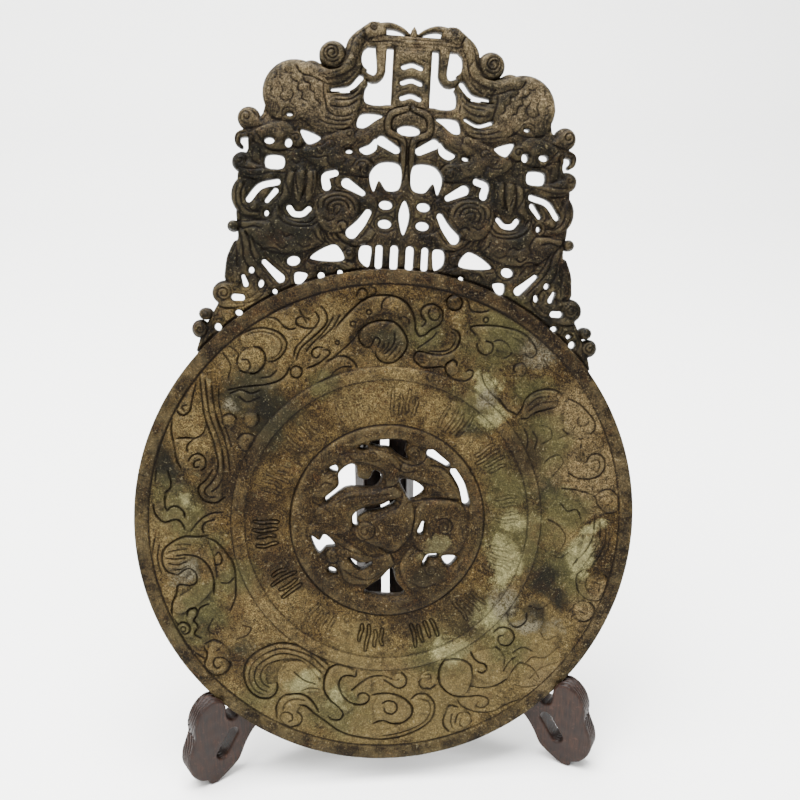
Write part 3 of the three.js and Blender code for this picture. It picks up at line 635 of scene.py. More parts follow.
bandLines = [
    # top
    (1.0, [(-30, 88), (-24, 96), (-20, 100.3), (-16, 103.7), (-11.3, 105.5), (-6.7, 105.9), (-2, 105.5),
        (2.7, 103.3), (6, 99.3), (7.7, 94.7), (8.3, 90.3), (10, 88), (12.7, 88.7), (15.3, 91.3), (18.7, 93.3),
        (20.3, 96)]),
    (0.8, [(0.1, 95.3), (2, 96.5), (4.3, 95.7), (5.3, 92.7)]),
    (0.8, [(-4.4, 105.6), (-7.3, 103.7), (-8.3, 101.3), (-8, 99)]),
    (1.0, [(-25.3, 79.3), (-20, 85.3), (-17.7, 89), (-14.7, 92), (-10.7, 93.7), (-6.7, 94.3), (-2, 93.7), (1.3, 91),
        (3.7, 87.7), (4.7, 84.7), (4, 81.3), (1.3, 77.3), (-1.3, 75.3), (-4.7, 74.7), (-8, 76), (-9.7, 78.7),
        (-9.7, 82)]),
    (1.0, [(-17.7, 89), (-18, 86), (-16.7, 83.3), (-13.6, 81.4), (-11.8, 83), (-10.3, 86.3), (-8.3, 85.3),
        (-9, 82)]),
    (0.8, [(-1.7, 89), (-1.3, 85.3), (-2.7, 82), (-6, 78.6)]), (0.7, [(-4, 84.6), (-4.6, 82), (-7.2, 79)]),
    (0.7, [(0, 83), (-2.6, 79.4), (-5.2, 76)]), (0.7, [(1.8, 81), (-0.6, 78), (-2.6, 75.6)]),
    (0.7, [(-6, 83.6), (-7, 81), (-8.6, 79.6)]),
    (0.9, [(-20, 104.7), (-18, 108.3), (-16, 107.7), (-15, 105.7), (-16.3, 103.7), (-18.7, 103.6)]),
    (0.8, [(-14.3, 110), (-11.6, 108.6), (-11.2, 106.6), (-14, 105.6)]),
    (1.0, [(9.4, 92.6), (11.3, 92.7), (12.6, 95), (11, 96.3), (10, 99.3), (11.3, 101.7), (14.7, 103), (18, 102),
        (20, 100), (20.4, 97)]),
    (0.9, [(14.4, 101), (13.6, 98.4), (15, 96), (17.6, 95.8), (19, 98), (17.8, 100.4), (15.6, 101)]),
    (0.9, [(9.2, 82), (12.7, 84.7), (16, 87.3), (18, 90)]),
    (1.0, [(25, 92), (28, 90.7), (29, 88), (28, 84), (25.3, 81.3), (21.3, 79.7), (16.7, 79.7), (10, 80.7),
        (8.2, 79), (8, 77), (9.7, 75.3), (12.7, 73.3), (16.7, 73.7), (20.7, 74.3), (23, 73.7)]),
    (0.8, [(24.4, 90.8), (26.7, 89.3), (26.7, 86), (24, 82.3), (20, 81.3), (14.7, 81.3)]),
    (0.7, [(9.7, 79), (12.4, 78.4)]), (0.7, [(10, 77.4), (12.8, 77)]), (0.7, [(10.8, 75.8), (13.2, 75.6)]),
    (1.0, [(27.6, 74), (28.2, 76.4), (26.5, 77.6), (24, 76.5), (23, 74), (24, 71), (27.5, 68.6), (32, 68),
        (35.5, 70), (36.2, 72.5), (34.4, 73.4), (32.6, 72.4)]),
    (1.0, [(22.2, 102.6), (21.8, 105), (24, 107.4), (27.4, 107), (29, 104.4), (28, 101.6), (25, 100.8),
        (22.6, 102)]),
    (0.8, [(30.6, 106.4), (32, 104.6), (33, 101.4), (38, 100.4), (42, 101.6)]),
    # upper right
    (0.9, [(36, 90), (33.6, 93), (40, 94.5), (50, 94), (58, 92), (63, 88), (65.5, 83), (63, 80.5), (60, 82)]),
    (0.6, [(50, 92), (57, 90), (62, 85)]), (0.6, [(53, 90), (58, 87.4), (61, 83.6)]),
    (0.9, [(37, 86), (38, 82.6), (41, 80.8), (44.4, 82.6), (44.4, 86), (41, 87.4)]),
    (0.7, [(44, 87), (48, 88), (52, 85.5), (53.5, 82), (50, 79.4)]),
    (0.9, [(57, 73.4), (55, 74.5), (56, 77), (59, 77.5), (61, 75.5), (60.4, 73), (58.6, 74.4)]),
    (0.7, [(69, 80), (72, 76), (77, 72.6), (84, 70)]), (0.6, [(72, 82), (78, 77), (86, 73.6)]),
    (1.0, [(58, 53), (60.4, 57), (62, 61), (66, 64.6), (72, 66.2), (77, 65.4), (80, 62.6)]),
    (0.9, [(60, 51.4), (63, 52), (66, 54.6), (72, 56.4), (77, 58.6), (76.6, 62)]),
    (0.8, [(63, 58), (67, 61.6), (73, 62.8)]), (0.8, [(63.4, 55.4), (68, 59), (74.6, 60.6)]),
    (0.7, [(65, 62.6), (70, 64.4), (75, 64)]), (0.9, [(49, 61), (53, 55.8), (59, 53.2)]),
    (0.7, [(40, 72), (42, 67), (47, 61.4), (52, 57.4)]), (0.6, [(43, 74), (45, 69), (50, 63)]),
    (1.0, [(81, 62.6), (88, 59.4), (93, 55), (96, 51), (95.5, 47), (92, 46), (89.6, 48)]),
    (0.9, [(88, 56), (91.6, 54.6), (92.4, 51), (89.4, 49.4), (87, 51.6), (88, 54)]),
    (0.8, [(80, 48), (82, 46), (87, 44.8), (90, 43), (90, 46)]), (0.7, [(79, 43), (83, 45)]),
    (1.0, [(90, 42), (90, 34), (93, 32), (94.4, 35), (98, 36.5), (101.5, 34.5), (102.2, 30), (100, 26), (95, 24.2),
        (89, 24.6), (84, 27)]),
    (0.9, [(95.6, 33), (98.4, 33.6), (99.7, 31), (98.6, 28), (96.8, 29), (97.4, 31.4)]),
    (0.8, [(73, 31), (75.5, 33.6), (79.4, 35), (82, 32), (80, 28), (77, 24)]),
    (0.7, [(70, 49), (74.6, 47.4), (75.4, 43), (71, 40)]), (0.8, [(62, 47), (64, 43), (64, 38), (62.4, 35)]),
    (0.7, [(66, 46), (68.6, 42), (67.6, 37)]),
    # right and lower right
    (1.0, [(82, 19), (90, 18.4), (98.4, 15.6), (100, 12), (105, 8), (110, 8.6)]),
    (1.0, [(98.6, 16), (102, 18.8), (106, 19.4), (109.6, 16), (110.2, 11)]),
    (0.8, [(101, 15), (104.6, 16.6), (107, 14), (104.6, 11.6)]),
    (0.9, [(99.4, 6), (99, -4), (96, -11), (92, -16), (90, -19)]),
    (0.8, [(102, 4), (102.4, -5), (99, -13), (95, -19)]), (0.8, [(105, 2), (105.4, -7), (102, -15), (99, -20)]),
    (0.7, [(107.4, -2), (107, -9), (104, -16)]), (0.9, [(82, 12), (86, 8), (90, 9), (93, 4)]),
    (0.7, [(76, 4), (82, 1), (86, -5), (84, -11)]), (0.7, [(79, -13), (84, -15), (88, -12)]),
    (1.0, [(96, -20), (93, -23), (93.6, -30), (98, -34.6), (104, -35.4), (108.4, -32), (109, -26), (106, -22)]),
    (0.8, [(99.6, -31.6), (97.2, -28), (98.2, -23.6), (101.4, -22)]), (0.8, [(101, -26), (104, -27.4), (104, -31)]),
    (0.9, [(92.4, -38), (93, -43), (97.6, -46.2), (102, -44), (102.8, -39.4), (100, -36.2)]),
    (0.8, [(96, -41), (99, -42), (99, -39)]),
    (0.8, [(60.4, -43), (61, -47), (65, -50), (69.6, -47), (69.6, -42.6)]),
    (0.7, [(70, -39), (76, -40.6), (80, -38)]),
    (1.0, [(54, -53), (57, -50.6), (61.6, -51), (64.4, -55), (62, -59), (57.6, -58.4), (56.6, -55), (59, -53.8)]),
    (0.7, [(55.6, -60), (58, -62), (60.4, -65.4), (60, -70)]), (0.7, [(77, -52), (80, -56), (86, -54), (89, -59)]),
    (0.7, [(70, -69), (74, -65), (80, -65), (86, -60)]), (0.7, [(64, -73), (68, -68), (74, -70), (78, -75)]),
    (0.6, [(73, -76), (79, -70), (87, -67)]), (0.6, [(82, -47), (88, -50), (93, -48)]),
    (0.6, [(66, -79), (72, -80), (80, -78)]), (0.7, [(64, -63), (69, -60), (74, -62)]),
    (1.0, [(43.6, -63), (45.4, -66), (48, -68), (51, -69), (52, -71.6), (50, -73.6), (47.6, -72.6)]),
    (0.7, [(44, -80), (50, -81), (57, -79.6), (62, -76)]), (0.7, [(60, -72), (63, -67), (66, -65)]),
    (1.0, [(31.4, -67), (29, -72), (29.4, -79), (33, -83), (38, -85.5), (44, -85.5), (49, -85), (53.5, -86.5),
        (54, -89), (51.5, -91), (48, -90.2), (49, -88)]),
    (1.0, [(38.6, -87), (40, -89.4), (43.6, -91.8), (50, -93.5), (57, -92.6), (62, -89.4), (70, -86)]),
    (0.8, [(31, -68), (35, -67), (40, -67.4), (44, -70), (45, -74)]),
    (0.9, [(20.6, -77), (19.4, -79), (21, -81.6), (25, -82), (28, -80)]),
    (0.8, [(22, -75), (24.6, -74.6), (25, -77)]),
    (0.9, [(10.6, -74), (13, -77), (13, -80.4), (10, -82), (6.4, -80.6), (2, -78)]),
    (0.7, [(2, -76), (8, -78), (10, -77)]),
    (1.0, [(16, -87.6), (19, -85), (23.4, -85), (27, -88.4), (28, -93), (26, -98.4), (21, -102.6), (14, -106),
        (6, -108), (0, -108.4), (-8, -107.8)]),
    (0.8, [(20, -87), (24.6, -88.6), (25.8, -93), (23.6, -98), (18, -102), (10, -105), (2, -106.6)]),
    (1.0, [(-3, -86), (2, -85), (8, -85.5), (14, -88.4), (17, -92.4), (16.5, -96), (13, -99.4), (8, -100.2),
        (3, -98.6), (-2, -100.6)]),
    (0.9, [(2, -90), (5, -88.4), (8.6, -89.6), (9.5, -92.6), (7.4, -95), (4, -94.2), (3.2, -92)]),
    (1.0, [(39, -91), (35, -90.4), (33, -95), (32.5, -100), (35.4, -103.6)]),
    (0.9, [(38, -99.6), (39.6, -94), (44.6, -94), (46, -98), (43, -101.6)]),
    (0.7, [(36.6, -94), (36, -98), (37.4, -102)]), (0.8, [(41, -96), (40.4, -99), (42, -101)]),
    # lower left
    (1.0, [(-25, -71), (-33, -65), (-40, -62), (-48, -61.2), (-56, -64), (-62, -68.6), (-64.5, -74), (-64, -80),
        (-61.5, -85), (-57, -88.5), (-52, -88.7), (-48.8, -85.4), (-48.6, -81)]),
    (0.8, [(-25.4, -74), (-32, -68), (-40, -64.6), (-48, -63.8), (-55, -66.6), (-60.4, -71.6), (-62, -78),
        (-59, -84.6), (-54, -87)]),
    (0.8, [(-26, -76.6), (-33, -70.6), (-40, -67), (-48, -66.2), (-54, -69), (-58.4, -73), (-59.4, -79),
        (-56.6, -83.6), (-52.6, -85.4)]),
    (0.8, [(-48, -69.4), (-54, -72), (-56.6, -77), (-55, -81.4), (-51.6, -83.4)]),
    (1.0, [(-18, -70), (-24, -73), (-26, -78), (-26, -84), (-23, -89), (-18.4, -92.6), (-16.3, -96), (-18, -98.8),
        (-22, -98.6), (-23.6, -97)]),
    (1.0, [(-11, -73.6), (-11.4, -77), (-14, -76.4), (-17, -76.6), (-19.2, -80), (-18, -85), (-14.5, -89),
        (-10, -91), (-5.6, -90), (-4.2, -87), (-6.4, -84.8), (-9.4, -85.6), (-9.6, -88)]),
    (0.9, [(-13, -84), (-8, -79.6), (-4, -77), (2, -76)]),
    (1.0, [(-48, -99), (-48.5, -93), (-46, -88), (-41, -86.2), (-35, -87), (-31, -90.5), (-28, -95.4)]),
    (0.8, [(-45.4, -95), (-44, -90.6), (-39.6, -88.6), (-34.6, -89.4)]),
    (0.9, [(-42, -102.4), (-45.6, -100), (-46.4, -97), (-44, -95.2), (-41, -96.4), (-40.6, -99), (-42.6, -100)]),
    (0.9, [(-38, -95.4), (-36, -98), (-37, -101.6), (-41, -102.8)]),
    (1.0, [(-38.5, -91.4), (-35, -92), (-30, -96), (-24, -100.2), (-18, -104.4), (-12, -106.6), (-2, -108)]),
    (0.7, [(-37, -84.6), (-33, -83), (-28, -83.4)]), (0.7, [(-41, -75), (-36, -79), (-30, -81)]),
    (1.0, [(-84, -64), (-82, -68), (-83, -72.6), (-81, -76.5), (-77, -78), (-72.5, -76), (-71, -72), (-74.5, -69),
        (-78, -69.2), (-79, -72), (-77, -74.2), (-75, -72.4)]),
    (0.8, [(-78, -66), (-75, -62.6), (-79, -60.6), (-84, -63)]),
    (0.7, [(-66, -53), (-62, -54.4), (-64, -58), (-69, -60)]),
    (1.0, [(-97, -55), (-94.5, -52.5), (-91, -54), (-90.5, -56.5), (-93, -58), (-95, -56.4)]),
    (1.0, [(-92, -49.6), (-91.5, -46), (-88, -45.5), (-87.6, -49), (-89, -51), (-86.8, -54.4), (-88.4, -58),
        (-85, -60)]),
    (0.8, [(-97, -59), (-92, -62.6), (-88, -67), (-83, -70)]), (0.7, [(-80, -50), (-82, -56), (-79, -58)]),
    (1.0, [(-92, -34.5), (-96.5, -34.4), (-97.4, -39), (-99.2, -44), (-99, -49.6), (-96, -54)]),
    (0.9, [(-82, -43), (-86, -45), (-87.6, -49)]),
    (1.0, [(-97, -29.5), (-92, -26), (-88.4, -28.6), (-88.4, -33), (-92, -34.5)]),
    (1.0, [(-83, -10), (-88, -11), (-94, -11), (-100, -14), (-104, -18), (-104.5, -23), (-102, -28), (-97, -29.6)]),
    (1.0, [(-99, -20.5), (-93, -19.5), (-87, -20.8), (-83, -24.4), (-80.4, -30), (-80, -38)]),
    (0.7, [(-102, -18.6), (-97.6, -17.4), (-92.6, -16.6)]), (0.7, [(-99, -15.2), (-94.6, -14.4), (-91, -14.6)]),
    (0.8, [(-102.4, -21.4), (-98, -21.8), (-93.6, -21)]), (0.8, [(-101.6, -24), (-97, -24.4), (-93, -22.8)]),
    (0.8, [(-99.6, -26.6), (-95.6, -26.6), (-92.6, -24.8)]),
    (0.8, [(-108, -12), (-109, -20), (-107.4, -30), (-104, -38)]),
    (0.7, [(-106, -15), (-106.6, -22), (-104.6, -29)]),
    (0.9, [(-85, -11), (-80, -13), (-75, -18), (-71.2, -24), (-70, -32), (-70, -40), (-72, -46)]),
    (0.8, [(-80, -19.6), (-78.5, -17.8), (-76.8, -21), (-77.4, -23.6), (-80, -24)]),
    (0.8, [(-77, -32.6), (-73.5, -32.6), (-70.4, -29.5)]),
    # left
    (1.0, [(-109.3, 4), (-108, -1), (-104, -4.6), (-100.7, -3.4), (-98, -3), (-95.3, -5.6), (-94.4, -8)]),
    (1.0, [(-104, 8.4), (-103.6, 3), (-102.6, 1.2), (-101.3, 2.7), (-98.7, 3.4), (-95.3, 1), (-94.6, -2)]),
    (0.9, [(-92, -9), (-89.3, -5), (-86, -1.6), (-82, 0.6), (-76.7, 1.2)]),
    (0.9, [(-80.7, -2.3), (-85.3, -4.3), (-86.4, -7), (-85.3, -9.6)]),
    (0.9, [(-103, 20), (-101.4, 12.4), (-104, 9)]),
    (1.0, [(-82, 22), (-85.3, 16.4), (-88.4, 13), (-88.8, 10.6), (-87.3, 7.6), (-84, 5.6), (-79.6, 6), (-76, 9)]),
    (0.9, [(-80.6, 19), (-83, 15), (-85.6, 12), (-85.6, 10), (-83.7, 8.4), (-80.6, 8.4)]),
    (0.8, [(-78, 17), (-80, 13), (-82.6, 11)]),
    (1.0, [(-90, 65), (-88.6, 56), (-87.4, 48), (-86, 43), (-83, 36), (-81, 29), (-80, 24), (-80.6, 19)]),
    (0.9, [(-87.4, 64), (-86, 54), (-84.4, 46), (-81, 38), (-78.6, 30), (-77.4, 22)]),
    (0.9, [(-84.4, 62), (-83.4, 54), (-81.6, 46), (-78, 37), (-75.6, 28), (-74.6, 20)]),
    (0.7, [(-81, 60), (-80.6, 52), (-77.6, 42), (-74, 32)]),
    (1.0, [(-91.5, 61), (-93, 53), (-94, 48), (-97, 46), (-99.7, 48), (-98, 54), (-96, 60)]),
    (0.8, [(-95, 51), (-97.4, 50), (-96.4, 48)]),
    (1.0, [(-101.5, 47), (-102, 39), (-100.5, 32), (-99, 25), (-97, 21)]),
    (0.8, [(-101.6, 50), (-105.4, 37), (-108, 26), (-108.6, 14)]),
    (1.0, [(-99.5, 35), (-95, 35.6), (-91, 35.6), (-87.4, 38), (-86, 42)]),
    (0.9, [(-91.4, 35.4), (-94.5, 32), (-94.2, 29)]),
    (1.0, [(-94, 24.4), (-92, 27.6), (-88.6, 28.4), (-86, 26), (-85.8, 23), (-87.6, 20.6)]),
    (0.9, [(-88, 26), (-91, 24.6), (-91, 22), (-88.6, 22.4)]),
    (0.9, [(-72, 45), (-74.6, 47.4), (-78, 46.6), (-78.6, 43), (-75.6, 42)]),
    (0.8, [(-72, 36), (-69.6, 38.4), (-66, 38.6), (-63, 36.6), (-61.6, 33)]),
    (0.8, [(-63, 48), (-62.2, 45), (-64, 42.6)]), (0.7, [(-71, 33), (-68, 30.6), (-64, 31)]),
    (0.7, [(-72, 56), (-68, 53.6), (-62, 56)]),
    # upper left
    (1.0, [(-71, 85), (-66, 87.4), (-62, 88), (-57, 87.2), (-53, 85), (-50.8, 81), (-52, 77), (-55.5, 73.5),
        (-59.5, 72.5)]),
    (0.8, [(-70, 84), (-64, 86), (-58, 85.6), (-54, 83), (-53, 79.6), (-55, 75.8), (-58.5, 74)]),
    (1.0, [(-66, 79.6), (-62.4, 78.4), (-60.2, 74.4), (-61.6, 69.6), (-65, 67), (-68, 67.4)]),
    (0.9, [(-71.4, 73), (-68.4, 73), (-67, 70), (-69, 67.4), (-72, 68)]), (0.8, [(-80, 76), (-76, 70), (-77, 64)]),
    (0.7, [(-77, 79), (-73, 76), (-73, 71)]),
    (1.0, [(-49, 71), (-50.6, 67), (-54, 64), (-60, 62), (-70, 60.4), (-77, 58.6)]),
    (0.8, [(-55, 69), (-57.6, 66), (-62, 65)]), (0.9, [(-76, 57), (-71, 59), (-66, 57.6), (-62, 59.4)]),
    (1.0, [(-61, 93), (-56, 92.4), (-53, 89.6), (-50, 88), (-47, 88.6)]),
    (0.9, [(-46, 97.4), (-44, 94.5), (-41, 93)]),
    (0.9, [(-42, 91), (-44.4, 94), (-46.8, 93), (-46.6, 90.4), (-41, 88.8), (-37, 90)]),
    (1.0, [(-36, 99.4), (-33.4, 96), (-33, 92), (-36, 88), (-40, 84), (-44, 80), (-45.5, 77), (-46, 74.5)]),
    (0.9, [(-38.6, 97), (-36.6, 93), (-39.6, 88), (-44, 83), (-46.8, 79), (-47.4, 75)]),
    (0.9, [(-30, 95), (-32, 91), (-34.6, 87), (-40, 81), (-42, 78)]), (0.8, [(-27, 96), (-30, 90), (-36, 84)]),
    (1.0, [(-41, 70.5), (-36.7, 72.6), (-32.7, 76), (-30.8, 78), (-32.7, 79.4), (-35, 79)]),
    (0.9, [(-35.4, 77.4), (-36.6, 75.6), (-38.6, 76), (-39, 78.6), (-36.7, 80.4), (-34, 80)]),
    (1.0, [(-32, 74), (-30, 75.4), (-26.7, 76.8), (-23.3, 76.7), (-20, 74.7), (-18, 72), (-18, 69.6)]),
    (0.9, [(-36, 62.6), (-31, 66), (-28, 70), (-24, 72.2), (-20.7, 72)]), (0.9, [(-30, 75), (-25, 80), (-20, 85)]),
]
for depth, points in bandLines:
    incise(points, depth=depth)
for x, y, r in (
    (-14, 97.7, 1.1), (-21, 92, 1.2), (-27.7, 83, 1.0), (-46, 68.5, 2.6), (-93.6, -55.6, 1.2), (40.6, 97, 1.2),
):
    ringLine(x, y, r, 0.8)
insideEdge = np.clip((fromCentre - jade["bandOuter"] - 0.6) / 1.2, 0, 1)
outsideEdge = np.clip((jade["rimLine"] - 0.6 - fromCentre) / 1.2, 0, 1)
bandLevel, bandCarved = (made * (insideEdge * outsideEdge) for made in lifted())
print("outer band carved")

# Rows of shallow strokes in the ring inside it

strokes = {
    "clusters": 14,
    "firstDegrees": 8,
    "radius": 57.0,
    "length": 12.5,
    "spread": 3.6,
    "depth": 1.0,
    "height": 0.8,
    "halfWidth": (0.8, 0.7),
    "visible": (0.3, 0.95),
    "seed": 11,
}
chance = np.random.default_rng(strokes["seed"])
for k in range(strokes["clusters"]):
    middle = strokes["firstDegrees"] + 360 / strokes["clusters"] * k
    visible = chance.uniform(*strokes["visible"])
    for row in (-1.5, -0.5, 0.5, 1.5):
        turned = math.radians(middle + row * strokes["spread"])
        reach = strokes["length"] / 2 * chance.uniform(0.55, 1.0)
        lift = chance.uniform(-1.2, 1.2)
        bow = chance.uniform(-0.014, 0.014)
        run = []
        for share in (-1, -0.4, 0.3, 1):
            r = strokes["radius"] + lift + share * reach
            off = bow * (1 - share * share) + 0.004 * math.sin(5 * share + k)
            run.append((r * math.cos(turned + off), r * math.sin(turned + off)))
        height, outline = strokes["height"] * visible, strokes["depth"] * visible
        body(run, *strokes["halfWidth"], height=height, outline=outline, tip=0.8)
ringLevel, ringCarved = lifted()

# The animal in the pierced middle: smooth masses, then fine lines

centreSwells = [
    (1.3, [(12, 2), (15, 9), (24, 11), (33, 10), (38, 4), (38, -6), (34, -14), (26, -15), (18, -15), (13, -10)]),
    (1.2, [(-34, 4), (-27, 8), (-18, 13), (-6, 14), (2, 16.4), (6, 13), (2, 10), (-6, 7.4), (-12, 5.4), (-16, 2),
        (-17, -4), (-22, -7), (-31, -6)]),
    (1.4, [(-12, -8), (-8, -1), (-1, 3.4), (5, 7), (8, 14), (12, 9), (13, 0), (10, -8), (5, -14), (-3, -13)]),
    (1.3, [(-25, 31), (-18, 33.6), (-9, 34), (-1, 32), (4, 27), (4, 19), (-1, 16.6), (-3, 24), (-10, 27),
        (-16, 27.6), (-22, 25.6)]),
    (1.2, [(9, 34), (14, 35), (18, 31), (20, 27), (27, 25), (31, 19), (34, 13), (29, 12), (22, 15), (17, 19),
        (9, 21), (4, 23), (6, 28)]),
    (1.0, [(-38, 12), (-33, 20), (-27, 21), (-25, 15), (-31, 10)]),
    (1.2, [(-37, -3), (-28, -5), (-20, -10), (-12, -15), (-6, -18), (2, -16), (4, -21), (-2, -26), (-9, -31),
        (-18, -30), (-22, -22), (-27, -15), (-34, -20)]),
    (1.2, [(7, -21), (12, -13), (18, -15), (18, -21), (24, -18), (30, -23), (28, -30), (18, -34), (11, -31)]),
]
for height, points in centreSwells:
    swell(points, height, jade["centreSoft"])
for x, y, r in (
    (27, -1.6, 5.6), (-10.6, -5.4, 4.4), (22, -22.6, 4.2), (11, 32.6, 3.6), (-25, -17.6, 3.4), (-20.4, 29, 3),
):
    roundSwell(x, y, r, 1.7)
for depth, points in (
    (0.9, [(9, 9), (14, 10.4), (20, 11.6), (27, 11.6), (34, 11)]),
    (0.8, [(12.6, 3), (11.6, 8), (9, 13), (6, 17)]),
    (0.8, [(12, -4), (12.6, 2)]),
    (0.9, [(-14, -3.6), (-13.4, -6.6), (-10, -9.2), (-6.6, -7.6), (-5.8, -3.6), (-8, -1.2)]),
    (0.7, [(-26, 6.8), (-18, 10.8), (-6, 11.6), (1, 13.6)]),
    (0.9, [(-2, 34.6), (2, 31.6), (5.6, 28.4), (10, 27.2), (14.6, 28.6), (17, 32)]),
    (0.8, [(0, 28), (3, 25.4), (7, 23.6), (12, 24.6)]),
    (0.8, [(-24, 31), (-18, 32), (-12, 31.6)]),
    (0.7, [(-15, 28.6), (-12, 29.4), (-9, 28.4), (-5, 29)]),
    (0.8, [(18, 27.6), (24, 26.6), (29, 22.4)]),
    (0.8, [(-4, -12), (1, -15.4), (5, -14.6), (8, -10)]),
    (0.8, [(2, -14.6), (4, -19)]),
    (0.7, [(-24, -11), (-17, -15), (-9, -17)]),
    (0.8, [(-20, -24), (-14, -27.6), (-7, -28.6), (-2, -25)]),
    (0.7, [(-36, 8), (-32, 6), (-27, 3)]), (0.7, [(-34, -3), (-29, -2), (-24, -4)]),
    (0.8, [(10, -18), (14, -14), (18, -13.6), (24, -15)]), (0.8, [(12, -29), (18, -31.6), (25, -29.6)]),
    (0.7, [(14, 18), (19, 18.6), (24, 16.6), (28, 12.6)]),
    (0.9, [(-29, 19), (-26, 20.6), (-23.6, 20)]), (0.7, [(-33, 15), (-30, 17.4), (-27, 16.6)]),
):
    incise(points, half=0.62, depth=depth)
for x, y, outer, start, turns in (
    (27, -1.8, 4.6, 150, -1.8), (-10.4, -5.2, 2.6, 60, 1.1), (21.8, -22.8, 3.2, 90, 1.7), (11, 32.6, 3.0, 200, -1.4),
    (-24.8, -17.4, 2.2, 120, -1.4), (-20.4, 28.8, 2, 0, 1.2), (3.4, 8, 2.2, 0, 1.0),
):
    spiral(x, y, outer, outer * 0.22, start, turns, 0.8)
ringLine(-8.6, 31, 1.5, 0.9)
ringLine(-8.6, 31, 0.5, 0.9)
centreLevel, centreCarved = lifted()
print("middle carved")

# The crest


def onBoth(call, points, *rest, **more):
    call(points, *rest, **more)
    call([(-x, y) for x, y in points], *rest, **more)


def spiralBoth(x, y, outer, inner, start, turns, depth):
    spiral(x, y, outer, inner, start, turns, depth)
    spiral(-x, y, outer, inner, 180 - start, -turns, depth)


# Bird, dragon and cloud curls, given for the right half as (height, swell) and (depth, line)
crestSwells = [
    (1.5, [(66, 196), (65, 186), (56, 181), (48, 183), (42, 187), (37, 193), (38, 200), (47, 206), (57, 207)]),
    (1.2, [(48, 184), (43, 179), (31, 178), (24, 185), (23, 198), (26, 194.6), (34, 193.4), (38, 197), (42, 190)]),
    (1.7, [(22, 220), (24.4, 213), (27, 206), (33, 202.4), (42, 200.6), (50, 202.6), (49, 207.4), (40, 205.6),
        (34, 206.6), (29.4, 210), (27, 218), (24, 223)]),
    (1.3, [(3, 222.4), (10, 225.2), (18, 227), (22.6, 223.6), (21, 220), (14, 221.4), (8, 223)]),
    (1.2, [(68, 182), (74, 185.4), (76.4, 181), (72, 177.6), (66, 179)]),
    (1.2, [(52, 178), (56, 181), (64, 179), (72, 174), (66, 170), (60, 168), (54, 169), (50, 172)]),
    (1.4, [(24, 160), (30, 162), (37, 161), (44, 164), (48, 168), (45, 172), (39, 174), (34, 175.4), (30, 172),
        (24, 167), (19, 167), (15, 163), (18, 159)]),
    (1.2, [(24, 175), (30, 179), (36, 176), (42, 174), (38, 170), (28, 171)]),
    (1.5, [(31, 151.6), (22, 149), (20, 142), (24, 136), (31, 133), (38, 135), (41.6, 142), (38.6, 149.4)]),
    (1.2, [(41, 160), (45, 159), (45.6, 152), (44.4, 146), (42, 149)]),
    (1.2, [(46.4, 159.6), (50, 159), (50.6, 151), (48.6, 145.6), (46.6, 150)]),
    (1.1, [(51.4, 159), (54, 157), (55.6, 150), (57, 144), (52.6, 146.4)]),
    (1.5, [(42, 143), (46, 138.6), (54, 139), (58, 143), (62, 137), (74, 136), (71, 130), (62, 124), (50, 122.6),
        (42, 125), (36, 128.6), (38, 135)]),
    (1.2, [(57, 160.4), (66, 160.6), (76, 163.6), (77.6, 159), (72, 155.6), (60, 156)]),
    (1.3, [(75.6, 154.6), (78, 148), (77, 142), (72, 138.6), (66, 139.4), (71, 143.6), (72.6, 150)]),
    (1.2, [(74, 132), (76, 124), (78.6, 116), (75, 108), (68, 112), (62, 120), (66, 126)]),
    (1.1, [(66, 120), (60, 115), (54, 109), (58, 106), (66, 112), (70, 118)]),
    (1.1, [(40, 117), (36, 120.6), (30, 121), (22, 119), (24, 116.6), (33, 118)]),
    (1.0, [(30, 133), (24, 128), (17, 128.6), (12, 133), (14, 136), (20, 131), (26, 132)]),
    (1.2, [(84, 106), (86, 101), (82, 97), (74, 97), (78, 102), (76, 107)]),
]
for height, points in crestSwells:
    for turned in (1, -1):
        swell([(x * turned, y) for x, y in points], height, jade["crestSoft"])
for x, y, r in (
    (36.2, 211.6, 5.4), (18.4, 223.8, 3.2), (50.4, 173.6, 3.4), (27.2, 177.2, 2.4), (20, 163, 3.8),
    (27.8, 136.4, 2.6), (68.4, 142.8, 2.4), (73, 181.6, 3.6), (80.2, 103, 4.4), (88.4, 92.6, 2.6), (90.4, 86, 3.2),
    (75.6, 162.6, 3.0), (72.6, 172.6, 2.6), (77, 133.4, 2.2), (24.4, 123.6, 2.6), (58, 174.6, 2.6),
):
    roundSwell(x, y, r, 1.7)
    roundSwell(-x, y, r, 1.7)

